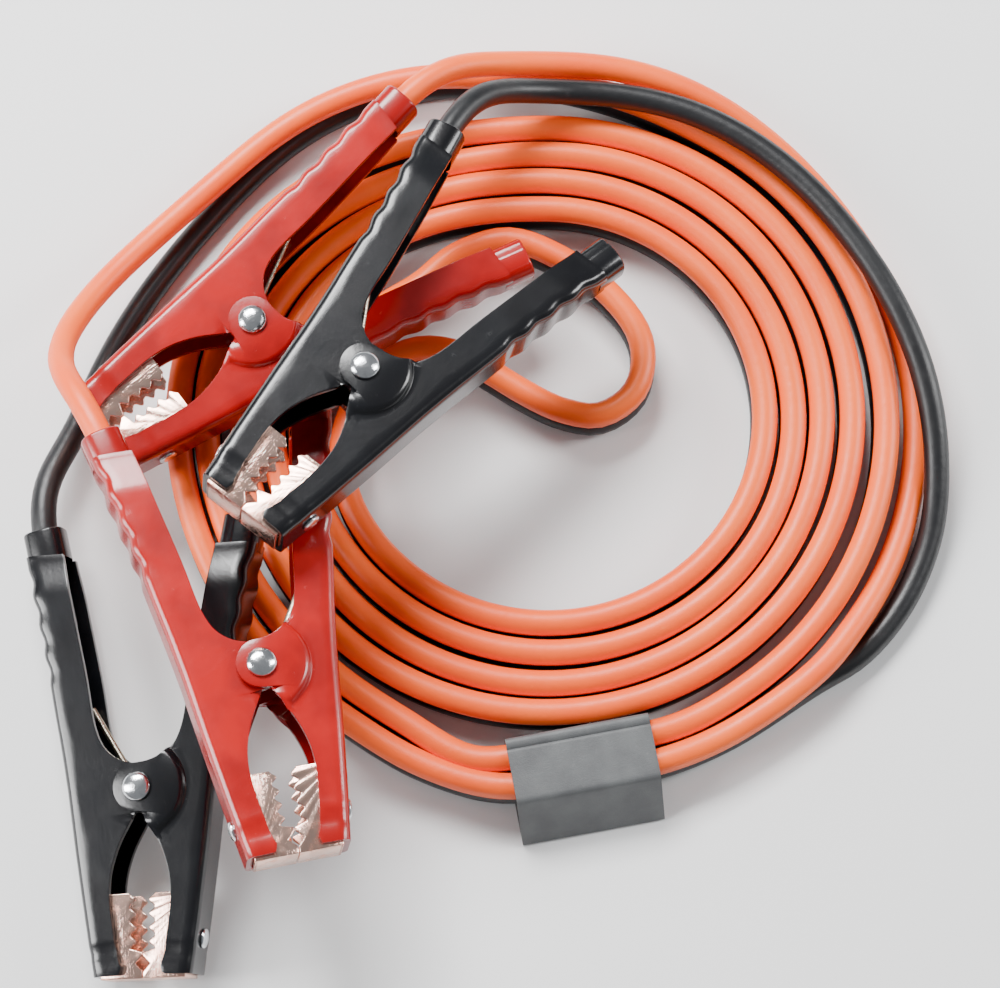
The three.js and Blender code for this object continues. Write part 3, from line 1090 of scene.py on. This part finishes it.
@dataclass(frozen=True)
class CopperJaw:
    """A bent copper sheet in the jaw, with rounded teeth and a notched nose."""

    sheet: float = 1.2
    half_height: float = 7.5
    start: float = 36.0
    tooth_end: float = 55.0
    tip: float = 65.2
    teeth: int = 4
    tooth_tip: float = 2.5
    tooth_depth: float = 2.0
    notch: float = 2.6
    meet: float = 0.15
    nose_wall: float = 2.2
    inset: float = 0.05
    back_stops: tuple[float, ...] = (45.0, 55.0, 64.0)

    def back(self, stamping: Stamping, x: float) -> float:
        """Returns the sheet's back line, just inside the stamping's web."""
        return height_on_line(OUTER_LINE, min(x, stamping.jaw_reach)) - stamping.wall - TOUCH_GAP

    def toothed_edge(self) -> list[Plan]:
        """Draws the wavy row of teeth, from its root to the nose.

        Returns:
            The row's plan points.
        """
        edge = []
        steps = 12
        pitch = (self.tooth_end - self.start) / self.teeth
        for i in range(self.teeth * steps + 1):
            share = i / steps
            wave = (1 - math.cos(2 * math.pi * share)) / 2
            height = self.tooth_depth * (1 - wave)
            edge.append((self.start + share * pitch, self.tooth_tip + height))
        return edge

    def outline(self, stamping: Stamping) -> list[Plan]:
        """Draws the plan of the two flat sides of the sheet.

        Args:
            stamping: The half that the jaw sits in.

        Returns:
            The closed outline in millimetres.
        """
        notch_x = (self.tooth_end + self.tip) / 2
        nose = [
            (self.tooth_end + 1.2, self.meet),
            (notch_x - self.notch, self.meet),
            (notch_x, self.meet + self.notch),
            (notch_x + self.notch, self.meet),
            (self.tip, self.meet),
            (self.tip, self.back(stamping, self.tip)),
        ]
        backs = [(x, self.back(stamping, x)) for x in reversed(self.back_stops)]
        return [*self.toothed_edge(), *nose, *backs, (self.start, self.back(stamping, self.start))]

    def mesh(self, name: str, stamping: Stamping) -> bpy.types.Mesh:
        """Builds the jaw: two flat sides, the back between them and the nose wall.

        Args:
            name: The mesh's name, with an ending for each side.
            stamping: The half that the jaw sits in.

        Returns:
            The mesh with its edges rounded.
        """
        plan = self.outline(stamping)
        high = self.half_height
        back_line = [(x, self.back(stamping, x)) for x in (self.start, *self.back_stops, self.tip)]
        back = [*back_line, *((x, y - self.sheet) for x, y in reversed(back_line))]
        inside = self.tip - self.nose_wall
        nose = [
            (inside, self.meet),
            (self.tip, self.meet),
            (self.tip, self.back(stamping, self.tip)),
            (inside, self.back(stamping, self.tip - self.notch / 2)),
        ]
        parts = [
            prism(name + "_top", plan, high - self.sheet, high),
            prism(name + "_bottom", plan, -high, self.sheet - high),
            prism(name + "_back", back, self.inset - high, high - self.inset),
            prism(name + "_nose", nose, self.inset - high, high - self.inset),
        ]
        return finished(joined(name, parts), rounded_edges(0.3, 2, 40))


@dataclass(frozen=True)
class Rivet:
    """A rivet with a domed head at each end of its shaft."""

    shaft: float
    head: float
    dome: float
    low: float
    high: float

    def mesh(self, name: str) -> bpy.types.Mesh:
        """Builds the rivet upright, its heads' seats at low and high.

        Args:
            name: The mesh's name.

        Returns:
            The closed mesh, with sharp rims under its domes.
        """
        arcs = [math.radians(a) for a in (90, 78, 64, 50, 36, 22, 10, 0)]
        skirt = 0.35
        crown = [(self.head * math.cos(a), skirt + (self.dome - skirt) * math.sin(a)) for a in arcs]
        bottom = [(r, self.low - z) for r, z in crown]
        top = [(r, self.high + z) for r, z in reversed(crown)]
        low_seat = [(self.head, self.low), (self.shaft, self.low)]
        high_seat = [(self.shaft, self.high), (self.head, self.high)]
        mesh = turned(name, [*bottom, *low_seat, *high_seat, *top], 32)
        mesh.set_sharp_from_angle(angle=math.radians(50))
        return mesh


@dataclass(frozen=True)
class TorsionSpring:
    """The wire spring round the pivot, with a leg along each handle."""

    wire: float = 1.15
    turns: float = 3.5
    pitch: float = 2.7
    leg_reach: float = 30.0
    leg_inset: float = 4.0
    shaft: float = 2.6

    def line(self) -> list[Vector]:
        """Winds the wire, with a leg at each end.

        Returns:
            The wire's middle line.
        """
        radius = self.shaft + TOUCH_GAP + self.wire
        rise = self.turns * self.pitch / 2
        side = height_on_line(INNER_HANDLE_LINE, -self.leg_reach) + self.leg_inset
        steps = round(self.turns * 16)
        points = [Vector((-self.leg_reach, -side, -rise))]
        for i in range(steps + 1):
            angle = -math.pi / 2 + i / steps * 2 * math.pi * self.turns
            height = mix(-rise, rise, i / steps)
            points.append(Vector((radius * math.cos(angle), radius * math.sin(angle), height)))
        points.append(Vector((-self.leg_reach, side, rise)))
        return smooth_through(points, 3)

    def mesh(self, name: str) -> bpy.types.Mesh:
        """Builds the wire as a mesh.

        Args:
            name: The mesh's name.

        Returns:
            The wire's mesh in metres.
        """
        curve = wire_curve(name, [p * MM for p in self.line()], self.wire * MM, 2)
        holder = bpy.data.objects.new("holder", curve)
        bpy.context.scene.collection.objects.link(holder)
        view = bpy.context.evaluated_depsgraph_get()
        mesh = bpy.data.meshes.new_from_object(holder.evaluated_get(view))
        bpy.data.objects.remove(holder)
        bpy.data.curves.remove(curve)
        mesh.name = name
        return mesh


@dataclass(frozen=True)
class ClampPlace:
    """Where a clamp lies: its pivot's centre, and its turns about Z, Y and X in degrees."""

    name: str
    coat: Finish
    at: tuple[float, float, float]
    yaw: float
    pitch: float
    roll: float

    def matrix(self) -> Matrix:
        """Turns the clamp about X, Y and Z, and moves it to its place.

        Returns:
            The placement in the laid-out frame.
        """
        turn = Matrix.Rotation(math.radians(self.yaw), 4, "Z")
        turn @= Matrix.Rotation(math.radians(-self.pitch), 4, "Y")
        turn @= Matrix.Rotation(math.radians(self.roll), 4, "X")
        return Matrix.Translation(self.at) @ turn


RED_A = ClampPlace("red_a", Finish.RED_VINYL, (-107.7, 21.4, 33.6), 216.9, -1.2, -3.2)
BLACK_A = ClampPlace("black_a", Finish.BLACK_VINYL, (-67.4, -8, 66.9), 231.7, 8, -1.4)
RED_B = ClampPlace("red_b", Finish.RED_VINYL, (-101.3, -109.3, 59), 282.9, 3.6, -8.2)
BLACK_B = ClampPlace("black_b", Finish.BLACK_VINYL, (-142.5, -142.7, 20), 271.9, -3.2, 11.4)

MIRROR = Matrix.Rotation(math.pi, 4, "X")


@dataclass(frozen=True)
class Clamp:
    """One spring clamp at its place."""

    place: ClampPlace
    stamping: Stamping = Stamping()
    jaw: CopperJaw = CopperJaw()
    spring: TorsionSpring = TorsionSpring()
    rivet_inset: float = 12.0
    spring_end: float = 5.5

    def body(self, moving: bool) -> str:
        """Returns the CAD body of the clamp's still or moving half."""
        return f"{self.place.name}_jaw_body" if moving else ROOT_BODY

    def put(
        self,
        part: str,
        mesh: bpy.types.Mesh,
        finish: Finish,
        layout: Layout,
        moving: bool,
        local: Matrix,
    ) -> bpy.types.Object:
        """Places one part of this clamp, in place of the CAD node of the same part.

        Args:
            part: The part's name, as the CAD node has it after the clamp's.
            mesh: Its mesh.
            finish: What it is made of.
            layout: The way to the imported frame.
            moving: Whether it rides on the moving half.
            local: Where it lies in the clamp.

        Returns:
            The placed piece.
        """
        node = f"{self.place.name}_{part}"
        matrix = layout.matrix(self.place.matrix()) @ local
        return place_piece(f"{node}_dressed", mesh, finish, self.body(moving), matrix, [node])

    def jaw_rivet_matrix(self) -> Matrix:
        """Places the rivet through the web and the copper, square to the web.

        Returns:
            Its placement in the clamp, in metres.
        """
        x = self.stamping.jaw_reach - self.rivet_inset
        slope = height_on_line(OUTER_LINE, x + 1) - height_on_line(OUTER_LINE, x - 1)
        normal = Vector((-slope, 2, 0)).normalized()
        turn = Vector((0, 0, 1)).rotation_difference(normal).to_matrix().to_4x4()
        return Matrix.Translation(Vector((x, height_on_line(OUTER_LINE, x), 0)) * MM) @ turn

    def dress(self, layout: Layout) -> None:
        """Builds and places all the clamp's parts.

        Args:
            layout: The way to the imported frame.
        """
        ear_top = self.stamping.half_height + self.stamping.step_height + TOUCH_GAP
        pivot = Rivet(shaft=2.6, head=5.1, dome=2.5, low=-ear_top, high=ear_top)
        clench = -(self.stamping.wall + 2 * TOUCH_GAP + self.jaw.sheet)
        jaw_rivet = Rivet(shaft=1.7, head=3.4, dome=1.3, low=clench, high=TOUCH_GAP)
        coat = self.place.coat
        still = Matrix.Identity(4)
        halves = ((False, MIRROR, "cable"), (True, still, "sprung"))
        for moving, local, side in halves:
            shell = self.stamping.shell(f"{self.place.name}_{side}_shell", moving)
            self.put(f"{side}_half", shell, coat, layout, moving, local)
            copper = self.jaw.mesh(f"{self.place.name}_{side}_copper", self.stamping)
            self.put(f"{side}_jaw", copper, Finish.COPPER, layout, moving, local)
            rivet = jaw_rivet.mesh(f"{self.place.name}_{side}_rivet")
            riveted = local @ self.jaw_rivet_matrix()
            self.put(f"{side}_jaw_rivet", rivet, Finish.BRIGHT_STEEL, layout, moving, riveted)
        pin = pivot.mesh(f"{self.place.name}_pivot")
        self.put("pivot_rivet", pin, Finish.BRIGHT_STEEL, layout, False, still)
        self.dress_spring(layout)

    def dress_spring(self, layout: Layout) -> None:
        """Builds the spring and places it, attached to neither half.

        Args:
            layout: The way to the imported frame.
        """
        seat = layout.matrix(self.place.matrix())
        name = f"{self.place.name}_spring"
        mesh = self.spring.mesh(f"{name}_wire")
        wire = place_piece(f"{name}_dressed", mesh, Finish.SPRING_STEEL, None, seat, [name])
        start = seat @ Vector((0, -self.spring_end * MM, 0))
        end = seat @ Vector((0, self.spring_end * MM, 0))
        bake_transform(wire)

    def cable_entry(self, distances: Sequence[float]) -> list[Vector]:
        """Finds points on the cable's line through the hood.

        Args:
            distances: How far out each point lies from the hood's root.

        Returns:
            The points in the laid-out frame.
        """
        start, way = self.stamping.hood_line()
        matrix = self.place.matrix()
        return [matrix @ (MIRROR @ (start + way * distance)) for distance in distances]


# Cables


Route = Sequence[tuple[float, float, float]]

ORANGE_LEAD_A: Route = (
    (-46, 134.4, 14), (-38, 134.4, 12.5), (-25, 134.4, 8), (-12, 134.4, 5), (0, 134.4, 4.7), (12, 134.4, 4.7),
    (25, 134.4, 4.7), (40, 134.6, 5.2), (52, 135.4, 8.5), (64, 135.6, 14.5), (76, 134.4, 20), (88, 132, 23.4),
    (98, 131, 26.5),
)
BLACK_LEAD_A: Route = (
    (-46, 136, 4.7), (-38, 141.6, 4.7), (-28, 144.6, 4.8), (-17, 144.6, 7), (-6, 141, 13), (5, 136.6, 19),
    (15, 132.5, 22.8), (26, 129, 24.3), (45, 126.6, 24.3), (64, 125, 24.3), (80, 121.2, 25.2), (92, 118, 29),
)
ORANGE_LEAD_B: Route = (
    (101, 132.8, 14), (112.7, 139.8, 14), (128.3, 146.6, 14), (147.5, 152, 14.5), (160, 163, 19),
    (169, 172, 29), (177, 175.5, 42),
)
BLACK_LEAD_B: Route = (
    (101, 132.8, 4.7), (113, 138.5, 4.7), (128.5, 144, 4.7), (147.5, 146.5, 4.7), (163, 155, 4.7),
    (176, 166, 4.9), (184, 172, 10),
)
BIGHT_PLAN: Line = (
    (-49, 45), (-36, 56), (-17, 62), (2, 55), (19, 42), (30, 27), (32, 15), (28, 3), (16, -5), (2, -3),
    (-12, 4), (-23, 11), (-37, 19), (-50, 20), (-61, 15), (-67, 8),
)

# Angles in degrees and radii, where each half of a cable comes from the fold and where it leaves the coil
INSIDE_FOLD: Line = ((181, 71.4), (193, 75.9), (205, 78.1))
INSIDE_TURNS: Plan = (217, 1143)
INSIDE_LEAVING: Line = ((75, 124.6), (88, 128.4))
OUTSIDE_FOLD: Line = ((147, 72.6), (160, 79.4), (172, 85.0))
OUTSIDE_TURNS: Plan = (186, 1018)
STEP_ANGLE = 12
SHIFT_STARTS = (450, 810)
SHIFT_SPAN = 90
SWAY = 0.35
SPAN_STEPS = 10
STEP_LENGTH = 4
# A bevelled curve has flat facets just inside its circle
FACET_ALLOWANCE = 1.01
HOOD_STOPS = (10.3 + 2 * CABLE_DIAMETER, 10.3 + CABLE_DIAMETER, 10.3, 3, -6, -16, -26)


@dataclass(frozen=True)
class BandPlace:
    """Where the plastic band holds the two outer strands, and how it is turned."""

    length: float = 51.0
    wall: float = 1.4
    angle: float = 275.3
    skew: float = 5.3
    lift: float = 1.5
    flap_reach: float = 13.0
    strand_gap: float = 0.15
    grip_margin: float = 2.0
    ease_before: float = 44.0
    ease_after: float = 28.0
    corner: float = 1.3
    crease_share: float = 0.18
    crease_depth: float = 0.55
    crease_width: float = 0.45

    def legs(self, winding: Winding) -> tuple[float, float]:
        """Works out the band's reach round the two outer strands.

        Args:
            winding: The coil.

        Returns:
            How far from the coil's centre its inner leg and its flap's top lie.
        """
        first = winding.radius(winding.split_turn) - CABLE_DIAMETER / 2 - TOUCH_GAP - self.wall
        last = winding.radius(winding.turns - 1) + CABLE_DIAMETER / 2 + TOUCH_GAP + self.wall
        return first, last

    def matrix(self, winding: Winding) -> Matrix:
        """Turns the band's own frame, whose x runs away from the coil's centre, to its place.

        Args:
            winding: The coil.

        Returns:
            The placement in millimetres.
        """
        middle = sum(self.legs(winding)) / 2
        skewed = Matrix.Translation((middle, 0, 0)) @ Matrix.Rotation(math.radians(self.skew), 4, "Z")
        skewed @= Matrix.Translation((-middle, 0, 0))
        centre = Matrix.Translation((*winding.centre, 0))
        return centre @ Matrix.Rotation(math.radians(self.angle), 4, "Z") @ skewed


@dataclass(frozen=True)
class Cable:
    """One colour of the twin cable, from its first clamp through the coil to its second."""

    name: str
    finish: Finish
    layer: float
    bight_height: float
    first: Clamp
    second: Clamp
    first_lead: Route
    second_lead: Route
    nodes: tuple[str, ...]
    winding: Winding
    band: BandPlace

    def strand(self, start: float, end: float, first_strand: int) -> list[Vector]:
        """Lays the turns of one half of the cable.

        Args:
            start: The angle in degrees where the half has reached its first strand.
            end: The angle where it leaves the coil.
            first_strand: The strand that it starts on. It moves out by two on each turn.

        Returns:
            Points every 12 degrees, counter-clockwise and outwards.
        """
        points = []
        for angle in divided(start, end, math.ceil((end - start) / STEP_ANGLE)):
            moved = sum(eased((angle - shift) / SHIFT_SPAN) for shift in SHIFT_STARTS)
            strand = first_strand + 2 * moved
            sway = SWAY * math.sin(math.radians(angle * 2.3) + strand)
            points.append(self.beside_band(angle, self.winding.radius(strand) + sway, strand))
        return points

    def beside_band(self, angle: float, radius: float, strand: float) -> Vector:
        """Places a coil point, drawn straight and lifted where the strand runs through the band.

        Args:
            angle: The point's angle in degrees.
            radius: Its radius.
            strand: Its strand, counted from 0 inside, or a place between two strands.

        Returns:
            The point in the laid-out frame.
        """
        plain = self.winding.point(angle, radius, self.layer)
        split = self.winding.split_turn
        if strand < split - 0.2:
            return plain
        matrix = self.band.matrix(self.winding)
        local = matrix.inverted() @ plain
        gap = self.band.strand_gap
        seat = self.winding.radius(split) - gap + (CABLE_DIAMETER + gap) * (round(strand) - split)
        level = max(local.x, seat)
        beyond = abs(local.y) - self.band.length / 2 + self.band.grip_margin
        ease = self.band.ease_before if local.y < 0 else self.band.ease_after
        hold = 1 - eased(beyond / ease)
        if local.x < 0 or hold <= 0:
            return plain
        held = matrix @ Vector((level, local.y, self.layer + self.band.lift))
        return plain.lerp(held, hold)

    def inside_half(self) -> list[Vector]:
        """Lays the half that ends at the second clamp.

        Returns:
            Its points, from the middle fold.
        """
        fold_end = [self.winding.point(a, r, self.layer) for a, r in INSIDE_FOLD]
        leaving = [self.winding.point(a, r, self.layer) for a, r in INSIDE_LEAVING]
        return [*fold_end, *self.strand(*INSIDE_TURNS, first_strand=0), *leaving]

    def outside_half(self) -> list[Vector]:
        """Returns the half that ends at the first clamp, from the middle fold."""
        fold_end = [self.winding.point(a, r, self.layer) for a, r in OUTSIDE_FOLD]
        return [*fold_end, *self.strand(*OUTSIDE_TURNS, first_strand=1)]

    def control_points(self) -> list[Vector]:
        """Strings the whole cable's route together.

        Returns:
            Its points, from the first clamp to the second.
        """
        into_first = self.first.cable_entry(HOOD_STOPS)
        into_second = self.second.cable_entry(HOOD_STOPS)
        first_lead = [self.winding.point(*stop) for stop in self.first_lead]
        second_lead = [self.winding.point(*stop) for stop in self.second_lead]
        bight = [Vector((x, y, self.bight_height)) for x, y in BIGHT_PLAN]
        to_fold = [*self.outside_half(), *first_lead, *into_first]
        return [*reversed(to_fold), *bight, *self.inside_half(), *second_lead, *into_second]

    def relaxed(self, line: Sequence[Vector]) -> list[Vector]:
        """Eases the bends of the two leads, as the stiff cable does, and leaves its ends in the clamps.

        Args:
            line: The cable's middle line, in steps of about 4 mm.

        Returns:
            The line with its first and last stretches smoothed.
        """
        held = 9
        supple = 75
        rounds = 26
        fade_out = 20
        fade_in = 6
        points = [p.copy() for p in line]
        last = len(points) - 1
        loose = [*range(held, supple), *range(last - supple, last - held)]
        for _ in range(rounds):
            middles = {i: (points[i - 1] + points[i + 1]) / 2 for i in loose}
            for i, middle in middles.items():
                steps_in = min(i, last - i)
                fade = eased((supple - steps_in) / fade_out) * eased((steps_in - held + 2) / fade_in)
                points[i] = points[i].lerp(middle, 0.5 * fade)
        return points

    def dress(self, layout: Layout) -> bpy.types.Object:
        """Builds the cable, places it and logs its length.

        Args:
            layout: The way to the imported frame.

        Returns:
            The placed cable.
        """
        fine = smooth_through(self.control_points(), SPAN_STEPS)
        even = spaced(fine, round(line_length(fine) / STEP_LENGTH))
        points = [layout.point(p) for p in self.relaxed(even)]
        length = line_length(points)
        curve = wire_curve(self.name, points, CABLE_DIAMETER / 2 * MM * FACET_ALLOWANCE, 4)
        piece = place_piece(self.name, curve, self.finish, ROOT_BODY, Matrix.Identity(4), self.nodes)
        LOG.info("%s is %.2f m long", self.name, length)
        return piece


# Band


@dataclass(frozen=True)
class Band:
    """The flat plastic band round the two outer strands, with its slanted outer flap."""

    place: BandPlace
    winding: Winding

    def section(self) -> list[Vector]:
        """Draws the band's middle line round the strands.

        Returns:
            Its points, x running away from the coil's centre.
        """
        leg, flap = self.place.legs(self.winding)
        half = self.place.wall / 2
        top = self.winding.height() + self.place.lift + TOUCH_GAP + self.place.wall
        corners = [
            Vector((leg + half, 0, half)),
            Vector((flap + self.place.flap_reach - half * 1.9, 0, half)),
            Vector((flap - half * 0.6, 0, top - half)),
            Vector((leg + half, 0, top - half)),
        ]
        line: list[Vector] = []
        for i, corner in enumerate(corners):
            before = (corners[i - 1] - corner).normalized()
            after = (corners[(i + 1) % 4] - corner).normalized()
            for step in range(5):
                share = step / 4
                rounding = self.place.corner
                line.append(corner + before * rounding * (1 - share) ** 2 + after * rounding * share**2)
            following = corners[(i + 1) % 4]
            line += [corner.lerp(following, share) for share in self.between(i)]
        return [self.creased(point, leg, flap, top) for point in line]

    def between(self, side: int) -> list[float]:
        """Spaces the points along one side, close together over its creases.

        Args:
            side: The side's number, 2 being the top.

        Returns:
            Shares of the side's length.
        """
        if side == 2:
            return [0.12, 0.2, 0.4, 0.6, 0.78, 0.8, 0.82, 0.84, 0.86]
        return [0.1, 0.3, 0.5, 0.7, 0.9]

    def creased(self, point: Vector, leg: float, flap: float, top: float) -> Vector:
        """Presses a point in where the band has its moulded hinge line.

        Args:
            point: A point of the section.
            leg: The inner leg's distance from the coil's centre.
            flap: The distance of the flap's top.
            top: The band's full height.

        Returns:
            The point, lower where it lies in the line.
        """
        if point.z < top - 1.2:
            return point
        crease = leg + (flap - leg) * self.place.crease_share
        depth = self.place.crease_depth * hump(point.x, crease, self.place.crease_width)
        return Vector((point.x, point.y, point.z - depth))

    def dress(self, layout: Layout) -> None:
        """Builds the band and places it.

        Args:
            layout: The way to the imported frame.
        """
        section = self.section()
        steps = 12
        half = self.place.length / 2
        rows = [[p + Vector((0, y, 0)) for p in section] for y in divided(-half, half, steps)]
        points = [p for row in rows for p in row]
        mesh = mesh_of("band_middle", points, grid_faces(len(rows), len(section), closed=True))
        mesh = finished(mesh, *sheet_metal(self.place.wall, 0.35))
        matrix = layout.matrix(self.place.matrix(self.winding))
        place_piece("plastic_band", mesh, Finish.PLASTIC, ROOT_BODY, matrix, ["clip"])


# Studio


@dataclass(frozen=True)
class SoftLight:
    """A rectangular studio light that points at the set."""

    name: str
    at: tuple[float, float, float]
    size: Plan
    power: float
    colour: Colour = (1.0, 1.0, 1.0)

    def hang(self, target: Vector) -> None:
        """Puts the light up and turns it to the target.

        Args:
            target: The middle of the set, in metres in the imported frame.
        """
        light = bpy.data.lights.new(self.name, "AREA")
        light.shape = "RECTANGLE"
        light.size, light.size_y = self.size
        light.energy = self.power
        light.color = self.colour
        lamp = bpy.data.objects.new(self.name, light)
        bpy.context.scene.collection.objects.link(lamp)
        lamp.location = target + Vector(self.at)
        lamp.rotation_euler = (target - lamp.location).to_track_quat("-Z", "Y").to_euler()


@dataclass(frozen=True)
class Studio:
    """The camera, the pale floor and the soft light."""

    target: tuple[float, float, float] = (-20.0, -33.5, 10.0)
    distance: float = 1100.0
    elevation: float = 75.0
    lens: float = 110.0
    sensor: float = 36.0

    def set_up(self, layout: Layout) -> None:
        """Makes the whole studio.

        Args:
            layout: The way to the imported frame.
        """
        target = layout.point(Vector(self.target))
        self.camera(target)
        self.floor(target)
        self.world()
        for light in self.lights():
            light.hang(target)

    def camera(self, target: Vector) -> None:
        """Puts the camera at the photograph's viewing angle.

        Args:
            target: The middle of the set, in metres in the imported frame.
        """
        data = bpy.data.cameras.new("camera")
        data.lens, data.sensor_width, data.sensor_fit = self.lens, self.sensor, "HORIZONTAL"
        data.clip_start, data.clip_end = 0.05, 20
        camera = bpy.data.objects.new("camera", data)
        bpy.context.scene.collection.objects.link(camera)
        tilt = math.radians(self.elevation)
        reach = self.distance * MM
        camera.location = target + Vector((0, -math.cos(tilt) * reach, math.sin(tilt) * reach))
        camera.rotation_euler = (math.pi / 2 - tilt, 0, 0)
        bpy.context.scene.camera = camera

    def floor(self, target: Vector) -> None:
        """Lays the pale floor.

        Args:
            target: The middle of the set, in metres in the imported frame.
        """
        reach = 6.0
        mesh = bpy.data.meshes.new("floor")
        signs = ((-1, -1), (1, -1), (1, 1), (-1, 1))
        corners = [(target.x + x * reach, target.y + y * reach, 0) for x, y in signs]
        mesh.from_pydata(corners, [], [(0, 1, 2, 3)])
        floor = bpy.data.objects.new("floor", mesh)
        bpy.context.scene.collection.objects.link(floor)
        surface = Surface.named("pale_floor")
        surface.feed("Base Color", (0.86, 0.86, 0.86))
        surface.feed("Roughness", 0.7)
        mesh.materials.append(surface.material)

    def world(self) -> None:
        """Fills the room with even light."""
        world = bpy.data.worlds.new("room")
        world.use_nodes = True
        background = world.node_tree.nodes["Background"]
        background.inputs["Color"].default_value = (0.93, 0.96, 1.0, 1.0)
        background.inputs["Strength"].default_value = 0.25
        bpy.context.scene.world = world

    def lights(self) -> list[SoftLight]:
        """Returns the studio's lights, placed from the middle of the set."""
        return [
            SoftLight("overhead", (-0.45, 0.95, 1.25), (0.9, 0.5), 55.0),
            SoftLight("left_box", (-1.4, -0.2, 0.8), (0.5, 1.1), 32.0),
            SoftLight("right_box", (1.3, 0.3, 0.75), (0.4, 0.9), 19.0),
        ]


# The set


def make_cables(winding: Winding, band: BandPlace, clamps: Mapping[str, Clamp]) -> list[Cable]:
    """Sets up the two cables.

    Args:
        winding: The coil that they share.
        band: Where the band holds them.
        clamps: The clamps by name.

    Returns:
        The orange and the black cable.
    """
    orange = Cable(
        name="orange_cable",
        finish=Finish.ORANGE_CABLE,
        layer=13.9,
        bight_height=14.0,
        first=clamps["red_a"],
        second=clamps["red_b"],
        first_lead=ORANGE_LEAD_A,
        second_lead=ORANGE_LEAD_B,
        nodes=("orange_lead_a", "orange_lead_b", "orange_bight", "coil"),
        winding=winding,
        band=band,
    )
    black = Cable(
        name="black_cable",
        finish=Finish.BLACK_CABLE,
        layer=4.6,
        bight_height=4.7,
        first=clamps["black_a"],
        second=clamps["black_b"],
        first_lead=BLACK_LEAD_A,
        second_lead=BLACK_LEAD_B,
        nodes=("black_lead_a", "black_lead_b", "black_bight"),
        winding=winding,
        band=band,
    )
    return [orange, black]


def main() -> None:
    """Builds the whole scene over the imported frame."""
    logging.basicConfig(level=logging.INFO, format="%(name)s: %(message)s")
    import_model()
    winding = Winding()
    band = BandPlace()
    layout = Layout.from_coil(winding)
    Studio().set_up(layout)
    clamps = {place.name: Clamp(place) for place in (RED_A, BLACK_A, RED_B, BLACK_B)}
    for cable in make_cables(winding, band, clamps):
        cable.dress(layout)
    for clamp in clamps.values():
        clamp.dress(layout)
    Band(band, winding).dress(layout)


if __name__ == "__main__":
    main()
